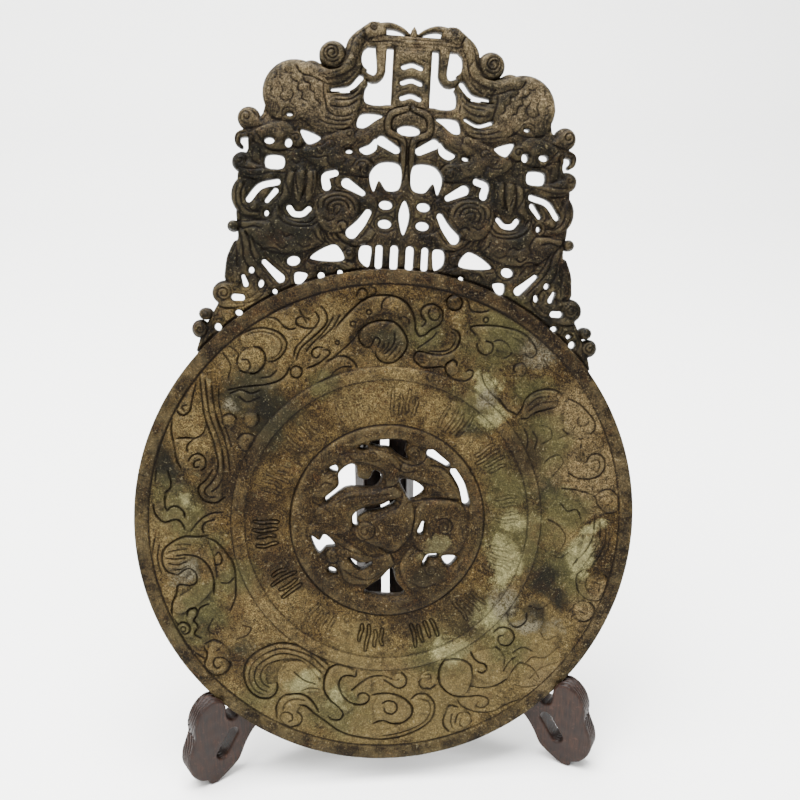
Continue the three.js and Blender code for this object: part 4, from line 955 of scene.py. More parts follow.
crestLines = [
    # Bird: neck, shoulder scallops, wing edge and swept feathers
    (1.0, [(52, 206), (50.7, 203.2), (48.6, 201.6), (44.7, 201), (40.7, 199.3), (36.6, 198.3), (31, 199.6),
        (27, 203)]),
    (0.9, [(54, 201.4), (53.7, 200), (52.3, 198.6), (50.3, 197.6), (51, 195.2), (48.7, 193.6), (48.7, 191.2),
        (46, 190)]),
    (0.9, [(48.6, 200.6), (47.7, 198.6), (45.3, 197.6), (45.3, 195.2), (43.3, 194), (42.8, 191.4), (40.7, 189.7)]),
    (0.7, [(58.6, 197), (57.4, 194), (58.6, 191.4), (56, 189.6), (54, 190.6)]),
    (0.7, [(57, 203.4), (55.4, 201.6), (53, 202)]), (0.7, [(54, 195.4), (52.6, 192.6), (54, 189.4), (51.6, 187.6)]),
    (1.0, [(39.3, 199), (39.3, 194.7), (38, 190), (37.3, 187.2), (35.2, 185.2), (31.3, 184.5), (27.3, 185.3),
        (24.7, 187.3)]),
    (1.1, [(34.8, 193.8), (31.3, 194), (27.3, 194.7), (23.6, 197)]),
    (1.1, [(33.8, 191.6), (29.3, 191.9), (26, 192.9), (22.8, 195.4)]),
    (1.0, [(36, 189), (31.6, 188.6), (27.4, 189.6), (23.6, 192.4)]),
    (1.1, [(38.2, 183.8), (34, 182.7), (30, 182.6), (25.8, 184)]),
    (1.1, [(41, 182.7), (37.3, 181.2), (32.7, 180.7), (27.6, 181.2)]),
    (1.0, [(44, 180.5), (38, 179.2), (31.3, 178.9), (26, 179.4)]), (0.9, [(50, 184), (48.6, 182), (44.6, 180.2)]),
    (0.7, [(64.6, 196), (62, 194.6), (63, 192), (60.6, 190.6)]), (0.6, [(64.4, 191), (62.4, 188.6), (63.4, 186)]),
    (0.6, [(60, 188.6), (58.6, 186), (60, 183.4)]), (0.6, [(61, 203), (60.4, 200.4), (62, 198.4)]),
    (0.7, [(56, 183.4), (58.6, 181.6), (62, 182)]), (0.9, [(22.6, 219), (19.4, 218), (12, 218.8), (4, 218.8)]),
    (0.8, [(27.6, 213), (25.4, 209.6), (26, 206)]), (0.7, [(25, 218), (23.4, 214.6)]),
    (0.8, [(40, 206.6), (37.6, 205.6), (33, 205.8), (30.4, 207.6)]),
    # Cloud curls over the dragon's head
    (0.9, [(77.4, 171), (76.8, 174), (72.5, 174.6), (69.4, 172.8), (69.6, 170.6)]),
    (0.9, [(69, 175.6), (65.5, 171.2), (63.2, 168.6), (58.6, 168), (54, 168.6)]),
    (0.9, [(45.6, 177.4), (44.6, 175), (44, 172), (45.5, 170.4), (48.4, 171)]),
    (0.8, [(52.4, 170.4), (49, 169.6), (46.4, 172), (48, 175.6)]),
    (0.9, [(42, 170.5), (38.2, 171.8), (36.8, 173.6), (34.6, 174), (33, 172.3), (34, 170.6), (35.6, 171.2)]),
    (0.8, [(44, 166.2), (40.2, 165.7), (36.3, 166.6), (35.8, 164.2), (33.2, 162), (30, 161.2)]),
    (0.8, [(41.4, 169.4), (39.6, 167.4), (38, 168.6), (39, 170)]), (0.8, [(29, 168), (27.8, 165.6), (29, 163.6)]),
    (0.8, [(52.4, 164.6), (50, 162.6), (48.2, 164.4), (49.6, 166.6)]),
    (1.0, [(25, 162.6), (23.2, 165.6), (20, 166.7), (16.2, 165.4), (14.8, 162.6), (16.4, 159.2), (20, 158.6),
        (25.6, 159), (31, 159.4)]),
    (0.9, [(22.6, 163.6), (21.4, 165), (18.8, 164.8), (17.4, 162.4), (18.8, 160.6), (21, 161), (21, 163)]),
    (0.9, [(31, 159.6), (32.6, 156), (31, 153.4), (27, 152.6)]),
    (0.8, [(12.6, 184), (16.6, 184.6), (20, 181.4), (25, 177.4)]),
    # Mane folds, shoulder spiral, belly arcs
    (0.9, [(50.2, 160), (49.8, 154.3), (48.4, 149.4)]), (0.9, [(45.5, 160), (45.2, 153.5), (47, 148)]),
    (0.8, [(42.4, 160), (42, 154.3), (42.6, 150)]), (0.8, [(54, 160), (54.4, 154), (52.4, 149)]),
    (0.7, [(38.4, 160), (39.6, 155), (38, 152)]),
    (1.0, [(39, 142), (39.6, 146.6), (37, 149.4), (33.2, 151), (28.6, 151.4), (24, 149.8), (20.8, 146.4),
        (20.4, 142)]),
    (0.9, [(37.2, 143), (36.4, 147.2), (32.5, 149.2), (27.8, 149.2), (24, 146.8), (22.4, 143)]),
    (0.9, [(34, 140.6), (35, 144.2), (33.4, 146.6), (30, 147.6), (26.8, 146.6), (25.2, 143.8)]),
    (0.8, [(32, 142), (32.4, 144.6), (30, 145.6), (28, 144.6)]), (0.7, [(36.8, 139.6), (34.4, 138), (31.6, 139.4)]),
    (0.7, [(29.6, 143), (31, 141), (33.4, 141.4)]),
    (0.9, [(30.4, 137.2), (28.8, 138.5), (26.2, 137.8), (25.8, 135.6), (27.8, 134.4), (29, 136)]),
    (1.0, [(57.4, 143.6), (55.5, 139.5), (51.6, 137.2), (47, 136.4), (42.4, 137.2), (40, 140)]),
    (0.9, [(59, 145), (57.8, 139.6), (54, 136), (47.8, 134.7), (41.6, 135.6), (38.6, 138)]),
    (0.8, [(40.4, 133), (39.4, 130.4), (36.3, 128)]), (0.8, [(38, 133), (36.8, 130.2), (33.6, 127.8)]),
    (0.8, [(35.4, 133), (34, 130), (31, 128.2)]), (0.7, [(33, 132.6), (31.4, 130), (29, 129)]),
    (0.9, [(55, 131.6), (53.6, 129.8), (51, 130.8), (49, 129.6)]), (0.8, [(60.6, 136), (58.6, 132), (59.6, 128)]),
    (0.9, [(57.4, 126.2), (54.6, 124.4), (52.4, 126)]),
    (0.9, [(64.6, 122.6), (61, 124.4), (57.4, 124.2), (55, 122.4)]), (0.7, [(48, 127), (45, 125.6), (42, 127)]),
    (1.0, [(31, 133), (28.4, 129.8), (24, 127.6), (19.4, 127.8), (15, 130.4), (12.4, 134)]),
    (0.8, [(20, 139.4), (16.4, 137.6), (13, 134.4)]), (0.8, [(16.6, 152), (13, 149.4), (12.4, 145), (14, 141)]),
    (0.8, [(5.4, 152.4), (8.6, 151.2), (13, 153)]),
    # Tail bands down the side
    (0.9, [(76.4, 159.8), (71, 158.9), (64.8, 159.6), (57, 160)]),
    (0.9, [(75, 157.2), (68.6, 156.4), (61, 158), (54, 158.4)]), (0.8, [(73.4, 155.2), (67, 154.6)]),
    (0.9, [(77.6, 163.4), (75.6, 165), (72.8, 163.6), (72.2, 160.6)]),
    (0.8, [(69.6, 168.4), (69.8, 163), (66.4, 161)]), (0.8, [(66.4, 168), (66, 163)]),
    (1.0, [(72.4, 153.4), (74.2, 148), (73.2, 143), (70, 140.2), (65.8, 140)]),
    (0.8, [(75, 154), (76.4, 149), (75.8, 143), (73, 139.6)]),
    (0.9, [(68.6, 144.6), (70.4, 142.8), (69.2, 140.8), (67, 141.4), (67, 143.4)]),
    (0.9, [(59, 152.4), (63, 152), (66.4, 148.6), (66.4, 145)]),
    (1.0, [(76.4, 135.6), (71, 135.8), (66.2, 136.8), (60, 136)]),
    (0.9, [(75, 133), (71.6, 132.8), (68.4, 133.7), (64.6, 133)]),
    (1.0, [(71.6, 131), (69.6, 127), (68.6, 122), (65.4, 117), (62, 113), (58.6, 109)]),
    (0.9, [(69, 130), (66.4, 123.6), (62.6, 118), (59.2, 114), (56, 109.6)]),
    (0.9, [(74, 131), (72.4, 124), (71.4, 118), (67, 113), (63.6, 109)]),
    (0.8, [(76.6, 128), (75, 121), (74.6, 115)]), (0.7, [(79, 124), (77.8, 117), (76.4, 111)]),
    (1.0, [(62.4, 112), (61.4, 106), (65, 101), (70, 99), (76, 98.4)]),
    (0.8, [(64.8, 111), (64, 106.4), (67, 102.4), (71.6, 100.4)]), (0.8, [(67.6, 110.6), (66.6, 107)]),
    (1.0, [(39.6, 116.6), (36.3, 120.3), (31.7, 121), (27, 119.5), (24, 118)]),
    (0.8, [(38.4, 114.6), (36, 118), (31.7, 118.8), (27.6, 117.2)]),
    (0.8, [(53.6, 119.6), (51, 116.4), (47.6, 115.6), (44.6, 117.6)]), (0.8, [(57, 121), (54.6, 118)]),
    (0.8, [(42, 122), (44.4, 117.6), (43, 114.6)]), (0.8, [(20, 124.6), (21.6, 120.6), (20.6, 117.6)]),
    (0.9, [(85, 98.4), (80.6, 96.4), (75, 96.6), (70, 98)]), (0.8, [(84, 84), (85.6, 88), (83.6, 92.6)]),
]
for depth, points in crestLines:
    onBoth(incise, points, depth=jade["crestLineDepth"] * depth)
for x, y, outer, start, turns in (
    (36.4, 211.9, 4.2, 210, 2.2), (73.2, 181.8, 3.0, 250, 1.4), (27.2, 177.2, 1.9, 60, 1.2),
    (75.2, 162.8, 2.2, 180, -1.3), (72.8, 172.8, 1.8, 40, 1.1), (80.4, 103, 3.8, 100, 1.9),
    (88.3, 92.8, 1.8, 0, 1.2), (90.4, 86, 2.3, 90, 1.2), (24.4, 123.6, 1.9, 200, -1.2), (50.6, 173.8, 2.0, 30, 1.1),
    (71, 107.6, 2.6, 320, 1.1),
):
    spiralBoth(x, y, outer, outer * 0.2, start, turns, 0.9)
for x in (18.2, -18.2):
    ringLine(x, 224.4, 1.5)
    ringLine(x, 224.4, 0.5)
for k in range(6):
    onBoth(incise, [(60 + k, 189.4 - abs(k - 2) * 0.5), (60.8 + k * 0.95, 184)], half=0.5, depth=0.5)

# Fretwork column
onBoth(incise, [(8, 191), (8, 216)], half=0.55, depth=0.6)
incise([(-21, 188.8), (21, 188.8)], half=0.6, depth=0.7)
onBoth(body, [(1.2, 190.2), (8.6, 186.8), (9.2, 179.8), (3, 176.4), (2, 168), (2, 158)], 1.6, 1.6, height=0.8)
crestLevel, crestCarved = lifted()
print("crest carved")

# Heights of the two faces


def softened(field, passes):
    for _ in range(passes):
        padded = np.pad(field, 1, mode="edge")
        field = (padded[:-2, 1:-1] + padded[2:, 1:-1] + padded[1:-1, :-2] + padded[1:-1, 2:] + 2 * field) / 6
    return field


def cloudy(size, seed):
    chance = np.random.default_rng(seed)
    rows = int(np.ptp(sheet.y) / size) + 4
    cols = int(np.ptp(sheet.x) / size) + 4
    coarse = chance.uniform(-1, 1, (rows, cols))
    fy = (sheet.y - sheet.y.min()) / size
    fx = (sheet.x - sheet.x.min()) / size
    iy, ix = fy.astype(int), fx.astype(int)
    ty, tx = fy - iy, fx - ix
    ty, tx = ty * ty * (3 - 2 * ty), tx * tx * (3 - 2 * tx)
    top = coarse[iy, ix] * (1 - tx) + coarse[iy, ix + 1] * tx
    low = coarse[iy + 1, ix] * (1 - tx) + coarse[iy + 1, ix + 1] * tx
    return top * (1 - ty) + low * ty


def ringStep(radius, width=0.6):
    return np.clip((fromCentre - radius) / width, 0, 1)


surface = {
    "field": 0.5,
    "ringLineHalf": 0.75,
    "ridge": 0.35,
    "discLift": 0.55,
    "bandLift": 1.25,
    "crestLift": 0.85,
    "lineDepth": 0.95,
    "centreLine": 0.7,
    "crestLine": 0.9,
    "centreInset": 6.0,
    "centreSink": 0.75,
    "centreLift": 0.9,
    "centreDome": 1.9,
    "centreDomeWidth": 5.0,
    "crestSink": 0.75,
    "crestDome": 1.3,
    "crestDomeWidth": 3.2,
    "seamDepth": 0.9,
    "backRing": 0.4,
    "softPasses": 14,
    "cavityDepth": 0.35,
    "proudHeight": 0.22,
}

plain = -surface["field"] * (ringStep(jade["centreRing"]) - ringStep(jade["bandInner"] - 0.6))
plain -= surface["field"] * (ringStep(jade["bandOuter"]) - ringStep(jade["rimLine"] - 0.6))
grooves = np.zeros(sheet.x.shape)
for radius, depth in (
    (jade["rimLine"] - 0.3, 0.8), (jade["bandOuter"] + 0.3, 0.22),
    (jade["bandInner"] - 0.3, 0.22), (jade["centreRing"] + 0.3, 0.9),
):
    wear = 0.75 + 0.25 * cloudy(14, int(radius))
    grooves = np.maximum(grooves, depth * wear * lineProfile(np.abs(fromCentre - radius), surface["ringLineHalf"]))
ridge = np.clip(1 - np.abs(fromCentre - (jade["bandInner"] + jade["bandOuter"]) / 2) / 3, 0, 1)
fading = np.clip(1 - (sheet.x - 10) / 260, 0.72, 1)  # the right side is the more worn
worn = np.clip(0.85 + 0.3 * cloudy(26, 3), 0.4, 1.0) * fading
discCarved = np.maximum(bandCarved, ringCarved)
discCarved = np.maximum(discCarved, np.maximum(centreCarved * surface["centreLine"], grooves)) * worn
raised = surface["bandLift"] * bandLevel + ringLevel
discFront = plain + surface["discLift"] * raised + surface["ridge"] * ridge - surface["lineDepth"] * discCarved
centreReach = jade["centreRing"] - surface["centreInset"]
inMiddle = fromCentre < centreReach
sunk = np.where(inMiddle, surface["centreSink"] - surface["centreLift"] * centreLevel, 0)
discFront -= sunk * np.clip((centreReach - fromCentre) / 3, 0, 1)


def domed(field, width):
    share = np.clip(field, 0, width) / width
    return 1 - np.sqrt(1 - (1 - share) ** 2)


discFront -= np.where(inMiddle, surface["centreDome"] * domed(discShape, surface["centreDomeWidth"]), 0)
edgeFollow = 0.6 * lineProfile(np.abs(crestShape - 2.0), 0.5) * np.clip(0.6 + cloudy(9, 21), 0, 1)
crestCut = np.maximum(crestCarved, edgeFollow) * np.clip(0.9 + 0.25 * cloudy(20, 5), 0.5, 1)
crestFront = jade["crestFront"] - surface["crestSink"] + surface["crestLift"] * crestLevel
crestFront -= surface["lineDepth"] * surface["crestLine"] * crestCut
crestFront -= surface["crestDome"] * domed(crestShape, surface["crestDomeWidth"])
seam = lineProfile(np.abs(fromCentre - jade["discRadius"] - 0.5), 1.0)
crestFront -= surface["seamDepth"] * seam
frontHeight = np.where(onDisc, discFront, crestFront)
frontHeight += 0.12 * cloudy(11, 1) + 0.05 * cloudy(4.6, 2)
cavity = np.where(onDisc, discCarved, np.maximum(crestCut, seam))
around = softened(frontHeight, surface["softPasses"])
# hollow: how far each point sits below its softened surroundings; the stone material paints shade into these
# recesses
hollow = np.clip((around - frontHeight) / surface["cavityDepth"], 0, 1)
# proud: how far each point stands above its softened surroundings; the stone material paints a highlight there
proud = np.clip((frontHeight - around) / surface["proudHeight"], 0, 1)
backRing = surface["backRing"] * lineProfile(np.abs(fromCentre - jade["rimLine"]), 0.8)
backHeight = np.where(onDisc, -jade["thickness"] + backRing, jade["crestFront"] - jade["crestThickness"])
backHeight += 0.08 * cloudy(13, 8)
edgeRadius = np.where(onDisc, np.where(inMiddle, jade["centreEdge"], jade["discEdge"]), jade["crestEdge"])
backEdge = edgeRadius * jade["backEdgeShare"]


def rounded(radius):
    reach = np.clip(shape, 0, radius)
    return radius - np.sqrt(np.clip(radius ** 2 - (radius - reach) ** 2, 0, None))


front = {"height": frontHeight - rounded(edgeRadius), "edge": frontHeight - edgeRadius}
back = {"height": backHeight + rounded(backEdge), "edge": backHeight + backEdge}
places, faces = slabMesh(sheet, shape, front, back)
print("jade mesh", len(places), "points", len(faces), "triangles")

jadeDisc = linked("jadeDisc", meshFrom("jadeDisc", places, faces))
thin = jadeDisc.modifiers.new("thin", "DECIMATE")
thin.ratio = min(1.0, jade["triangles"] / len(faces))
baked(jadeDisc)
local = placesOf(jadeDisc.data)
print("jade thinned to", len(jadeDisc.data.polygons))


def sampled(values, xs, ys):
    fx = np.clip((xs - sheet.low[0]) / sheet.step, 0, sheet.countX - 1.001)
    fy = np.clip((ys - sheet.low[1]) / sheet.step, 0, sheet.countY - 1.001)
    ix, iy = fx.astype(int), fy.astype(int)
    tx, ty = fx - ix, fy - iy
    top = values[iy, ix] * (1 - tx) + values[iy, ix + 1] * tx
    low = values[iy + 1, ix] * (1 - tx) + values[iy + 1, ix + 1] * tx
    return top * (1 - ty) + low * ty


flatXY = local[:, 0], local[:, 1]
onFront = local[:, 2] > jade["frontZone"]
# The cut attribute carries the carved lines and the recesses, which the stone material darkens with dirt and painted
# shade
cutHere = np.where(onFront, sampled(np.maximum(cavity, hollow), *flatXY), 0.0)
proudHere = np.where(onFront, sampled(proud, *flatXY), 0.0)
wallHere = np.clip(1 - sampled(np.clip(shape, 0, jade["outlineReach"]), *flatXY) / jade["wallZone"], 0, 1)
world = inStand(local)
jadeDisc.data.vertices.foreach_set("co", (world / 1000).astype(np.float32).ravel())
for name, values in (("cut", cutHere), ("proud", proudHere), ("wall", wallHere)):
    attribute = jadeDisc.data.attributes.new(name, "FLOAT", "POINT")
    attribute.data.foreach_set("value", np.asarray(values, np.float32))
flat = jadeDisc.data.attributes.new("flat", "FLOAT_VECTOR", "POINT")
flat.data.foreach_set("vector", (local / 1000).astype(np.float32).ravel())
jadeDisc.data.polygons.foreach_set("use_smooth", np.ones(len(jadeDisc.data.polygons), bool))
jadeDisc.data.set_sharp_from_angle(angle=math.radians(jade["sharpDegrees"]))
jadeDisc.data.update()


# Shader helpers


class Nodes:
    def __init__(self, material):
        self.tree = material.node_tree
        self.tree.nodes.clear()

    def add(self, kind, **settings):
        node = self.tree.nodes.new(kind)
        for name, value in settings.items():
            setattr(node, name, value)
        return node

    def join(self, source, target):
        self.tree.links.new(source, target)

    def put(self, target, value):
        if isinstance(value, bpy.types.NodeSocket):
            self.join(value, target)
        else:
            target.default_value = value

    def noise(self, vector, scale, detail, rough, distort=0.0):
        node = self.add("ShaderNodeTexNoise")
        self.join(vector, node.inputs["Vector"])
        node.inputs["Scale"].default_value = scale
        node.inputs["Detail"].default_value = detail
        node.inputs["Roughness"].default_value = rough
        node.inputs["Distortion"].default_value = distort
        return node.outputs["Fac"]

    def span(self, value, low, high, first=0.0, last=1.0):
        node = self.add("ShaderNodeMapRange", clamp=True)
        self.put(node.inputs["Value"], value)
        node.inputs["From Min"].default_value = low
        node.inputs["From Max"].default_value = high
        node.inputs["To Min"].default_value = first
        node.inputs["To Max"].default_value = last
        return node.outputs["Result"]

    def sums(self, kind, a, b=0.0, c=0.0):
        node = self.add("ShaderNodeMath", operation=kind)
        self.put(node.inputs[0], a)
        self.put(node.inputs[1], b)
        if kind == "MULTIPLY_ADD":
            self.put(node.inputs[2], c)
        return node.outputs[0]

    def blend(self, share, a, b, kind="MIX"):
        node = self.add("ShaderNodeMix", data_type="RGBA", blend_type=kind)
        self.put(node.inputs["Factor"], share)
        self.put(node.inputs[6], a)
        self.put(node.inputs[7], b)
        return node.outputs[2]

    def stored(self, name):
        return self.add("ShaderNodeAttribute", attribute_type="GEOMETRY", attribute_name=name)


def colour(red, green, blue):
    def linear(v):
        v /= 255
        return v / 12.92 if v <= 0.04045 else ((v + 0.055) / 1.055) ** 2.4

    return (linear(red), linear(green), linear(blue), 1.0)


stone = {
    "warpReach": 0.03,
    "warpScale": 34.0,
    "fineReach": 0.009,
    "fineScale": 130.0,
    "patchDepth": -0.002,
    "patchOuter": 1.35,
    "patchInner": 0.25,
    "bumpMm": 0.5,
    "tone": 0.27,
    "saturation": 1.15,
    "shine": 0.06,
    "bumpStrength": 0.9,
    "baseDark": (56, 44, 27),
    "baseMiddle": (93, 75, 46),
    "baseLight": (128, 108, 70),
    "pits": (46, 35, 20),
    "crestDark": (27, 22, 15),
    "crestLight": (64, 53, 39),
    "crestTop": (136, 121, 95),
    "crestGreen": (30, 31, 22),
    "crestPits": (40, 29, 17),
    "rimStain": (44, 35, 22),
    "rimTopDark": (30, 22, 14),
    "rimTopLight": (74, 56, 34),
    "middleStain": (48, 37, 23),
    "rust": (96, 64, 40),
    "smear": (50, 42, 27),
    "paintedGlints": (204, 194, 160),
    "raisedHighlight": (150, 136, 104),
    "dirtAndShade": (26, 19, 11),
    "wallStain": (46, 36, 24),
}
# Clouds in the stone: scale, detail, roughness, distortion
stoneClouds = {
    "broad": (24, 6, 0.62, 0.5),
    "middle": (90, 6, 0.68, 0.4),
    "ragged": (210, 5, 0.72, 0.2),
    "fine": (1050, 2, 0.6, 0),
    "grain": (2100, 2, 0.6, 0),
    "rust": (75, 5, 0.7, 0.8),
    "smear": (60, 5, 0.7, 1.4),
    "streaks": (330, 4, 0.75, 1.2),
}
# Colour patches: spots as (right mm, up mm, radius mm), colour, pit colour, how strongly pits show, cover
stonePatches = [
    {
        "colour": (140, 124, 86), "pits": (90, 72, 44), "speckle": 0.35, "cover": 0.85,
        "spots": (
            (0, -86, 34), (-38, -80, 24), (44, -76, 30), (70, -58, 24), (-10, -66, 20), (30, -98, 24),
            (-44, -98, 22),
        ),
    },
    {
        "colour": (148, 130, 96), "pits": (70, 54, 34), "speckle": 0.6, "cover": 0.85,
        "spots": (
            (96, 30, 20), (104, -40, 16), (86, 52, 16), (76, 30, 12), (84, -74, 14),
        ),
    },
    {
        "colour": (158, 138, 96), "pits": (56, 41, 22), "speckle": 0.95, "cover": 0.9,
        "spots": (
            (-63, 77, 21), (-90, 36, 16), (-14, 58, 17), (-34, 88, 14), (-50, -46, 20), (-66, -60, 14),
            (-108, -14, 14), (-74, 92, 12), (-72, -92, 13), (-100, -42, 12), (24, 50, 12), (40, 33, 8),
            (0, 64, 14), (84, -2, 9), (-84, -76, 10),
        ),
    },
    {
        "colour": (46, 46, 32), "pits": (36, 33, 22), "speckle": 0.3, "cover": 0.9,
        "spots": (
            (-62, 60, 13), (-52, 50, 13), (-74, 54, 11), (-58, 38, 11), (-4, 87, 9), (22, -28, 8), (-104, 18, 9),
            (-94, -22, 8), (-68, -68, 9), (-60, 134, 14), (56, 88, 10), (76, 20, 9), (88, -16, 9), (-86, -46, 8),
            (40, 42, 7),
        ),
    },
    {
        "colour": (100, 96, 64), "pits": (70, 64, 40), "speckle": 0.35, "cover": 0.8,
        "spots": (
            (-98, 2, 15), (-84, -40, 12), (46, 90, 18), (82, 10, 13), (40, 56, 15), (12, 92, 10), (64, 68, 11),
            (-32, 66, 8), (88, -22, 14), (60, -62, 10), (56, 18, 14), (-86, -12, 9), (-92, -54, 10), (64, -8, 22),
            (48, -46, 18), (26, -64, 15), (-20, -92, 15), (-58, -86, 12), (72, 40, 14), (-70, -30, 12),
        ),
    },
    {
        "colour": (54, 42, 27), "pits": (34, 26, 16), "speckle": 0.6, "cover": 0.85,
        "spots": (
            (-78, 16, 13), (-66, 26, 11), (-78, 36, 8), (38, -42, 13), (12, -46, 11), (-48, -24, 14), (64, 34, 11),
            (70, 58, 9), (-30, -30, 9), (0, 15, 13), (-62, 2, 12),
        ),
    },
    {
        "colour": (178, 172, 128), "pits": (124, 116, 80), "speckle": 0.3, "cover": 0.9,
        "spots": (
            (63, 0, 8), (55, -20, 9), (50, -42, 10), (95, -11, 9), (24, -10, 6), (-37, -76, 8), (43, 68, 7),
            (50, 52, 7), (34, -62, 8), (-20, -86, 6), (98, 0, 6), (-96, 8, 5),
        ),
    },
    {
        "colour": (32, 30, 21), "pits": (24, 22, 16), "speckle": 0.4, "cover": 0.95,
        "spots": (
            (78, -27, 11), (72, -44, 8), (-105, 24, 7), (-60, 50, 9), (84, -36, 7), (-58, 140, 18), (-70, 122, 13),
            (-66, 160, 10), (58, 138, 10), (70, 160, 8),
        ),
    },
    {
        "colour": (164, 156, 132), "pits": (58, 52, 38), "speckle": 1.0, "cover": 0.85,
        "spots": (
            (70, 85, 8), (80, -49, 6), (54, -36, 8), (-96, -26, 7), (44, 62, 6), (-78, 50, 5), (66, -48, 6),
        ),
    },
]


def toned(rgb):
    plain = colour(*rgb)
    grey = 0.2126 * plain[0] + 0.7152 * plain[1] + 0.0722 * plain[2]
    return tuple(max(0.0, (grey + (v - grey) * stone["saturation"]) * stone["tone"]) for v in plain[:3]) + (1.0,)


jadeStone = bpy.data.materials.new("jadeStone")
jadeStone.use_nodes = True
n = Nodes(jadeStone)
coords = n.add("ShaderNodeTexCoord").outputs["Object"]
flatPlace = n.stored("flat").outputs["Vector"]
cutShare = n.stored("cut").outputs["Fac"]
proudShare = n.stored("proud").outputs["Fac"]
wallShare = n.stored("wall").outputs["Fac"]


def shoved(vector, scale, reach):
    cloud = n.add("ShaderNodeTexNoise")
    n.join(coords, cloud.inputs["Vector"])
    cloud.inputs["Scale"].default_value = scale
    cloud.inputs["Detail"].default_value = 3
    centred = n.add("ShaderNodeVectorMath", operation="SUBTRACT")
    n.join(cloud.outputs["Color"], centred.inputs[0])
    centred.inputs[1].default_value = (0.5, 0.5, 0.5)
    sized = n.add("ShaderNodeVectorMath", operation="SCALE")
    n.join(centred.outputs[0], sized.inputs[0])
    sized.inputs["Scale"].default_value = reach
    moved = n.add("ShaderNodeVectorMath", operation="ADD")
    n.join(vector, moved.inputs[0])
    n.join(sized.outputs[0], moved.inputs[1])
    return moved.outputs[0]


shifted = shoved(shoved(flatPlace, stone["warpScale"], stone["warpReach"]), stone["fineScale"], stone["fineReach"])
broad, middle, ragged, fine, grain = (
    n.noise(coords, *stoneClouds[name]) for name in ("broad", "middle", "ragged", "fine", "grain")
)
flatSplit = n.add("ShaderNodeSeparateXYZ")
n.join(flatPlace, flatSplit.inputs[0])
upward = flatSplit.outputs["Y"]
fromMiddle = n.add("ShaderNodeVectorMath", operation="LENGTH")
n.join(flatPlace, fromMiddle.inputs[0])
radial = fromMiddle.outputs["Value"]


def spotShare(spots):
    total = None
    for x, y, r in spots:
        away = n.add("ShaderNodeVectorMath", operation="DISTANCE")
        n.join(shifted, away.inputs[0])
        away.inputs[1].default_value = (x / 1000, y / 1000, stone["patchDepth"])
        near = n.span(away.outputs["Value"], r / 1000 * stone["patchOuter"], r / 1000 * stone["patchInner"])
        total = near if total is None else n.sums("MAXIMUM", total, near)
    uneven = n.sums("MULTIPLY_ADD", n.sums("SUBTRACT", ragged, 0.5), 1.3, total)
    return n.span(uneven, 0.16, 0.76)


def times(a, b):
    return n.sums("MULTIPLY", a, b)


def stained(base, share, name, strength=1.0):
    return n.blend(times(share, strength) if strength < 1 else share, base, toned(stone[name]))


base = n.blend(n.span(broad, 0.36, 0.62), toned(stone["baseDark"]), toned(stone["baseMiddle"]))
base = stained(base, n.span(middle, 0.46, 0.68, 0, 0.8), "baseLight")
pitShare = n.span(n.sums("MULTIPLY_ADD", n.sums("SUBTRACT", ragged, 0.5), 0.5, fine), 0.5, 0.58)
base = stained(base, pitShare, "pits", 0.45)

# Crest: darker, with a paler top
crestArea = times(n.span(radial, 0.1175, 0.119), n.span(upward, 0.06, 0.07))
crestColour = n.blend(n.span(middle, 0.38, 0.64), toned(stone["crestDark"]), toned(stone["crestLight"]))
crestColour = stained(crestColour, times(n.span(upward, 0.172, 0.195), n.span(ragged, 0.3, 0.56)), "crestTop")
crestColour = stained(crestColour, n.span(broad, 0.46, 0.56), "crestGreen", 0.7)
crestColour = stained(crestColour, pitShare, "crestPits", 0.4)
base = n.blend(crestArea, base, crestColour)

# Cloudy patches, clear where they have few pits
clearStone = None
for spot in stonePatches:
    share = times(spotShare(spot["spots"]), spot["cover"])
    strong = times(pitShare, spot["speckle"])
    base = n.blend(share, base, n.blend(strong, toned(spot["colour"]), toned(spot["pits"])))
    if spot["speckle"] < 0.5:
        clearStone = share if clearStone is None else n.sums("MAXIMUM", clearStone, share)

# Rim, middle, rust and smears
discEnd = n.span(radial, 0.1195, 0.1185)
rimZone = times(n.span(radial, 0.1105, 0.1125), discEnd)
base = stained(base, times(rimZone, n.span(middle, 0.4, 0.62, 0.95, 0.4)), "rimStain")
rimTop = times(n.span(upward, 0.05, 0.085), times(n.span(radial, 0.1095, 0.112), discEnd))
rimTopColour = n.blend(n.span(middle, 0.36, 0.64), toned(stone["rimTopDark"]), toned(stone["rimTopLight"]))
base = n.blend(times(rimTop, 0.9), base, rimTopColour)
base = stained(base, n.span(radial, 0.0465, 0.0435), "middleStain", 0.6)
base = stained(base, n.span(n.noise(coords, *stoneClouds["rust"]), 0.55, 0.72), "rust", 0.3)
base = stained(base, n.span(n.noise(coords, *stoneClouds["smear"]), 0.56, 0.68), "smear", 0.6)

# Mottling, painted glints, painted highlight on raised edges, dirt and painted shade in the cuts and hollows
streaks = n.noise(coords, *stoneClouds["streaks"])
mottle = times(n.span(ragged, 0.34, 0.66, 0.55, 1.55), n.span(streaks, 0.36, 0.64, 0.55, 1.55))
mottle = times(mottle, n.span(fine, 0.4, 0.6, 0.42, 1.6))
mottle = times(mottle, n.span(grain, 0.4, 0.6, 0.55, 1.45))
mottle = n.sums("MULTIPLY_ADD", n.sums("SUBTRACT", 1.0, mottle), times(clearStone, 0.6), mottle)
shade = n.add("ShaderNodeCombineColor")
for port in ("Red", "Green", "Blue"):
    n.join(mottle, shade.inputs[port])
base = n.blend(1.0, base, shade.outputs["Color"], "MULTIPLY")
# Painted glints: small bright specks put into the colour where the fine and streak noises peak
base = stained(base, times(n.span(fine, 0.58, 0.66), n.span(streaks, 0.5, 0.6)), "paintedGlints", 0.42)
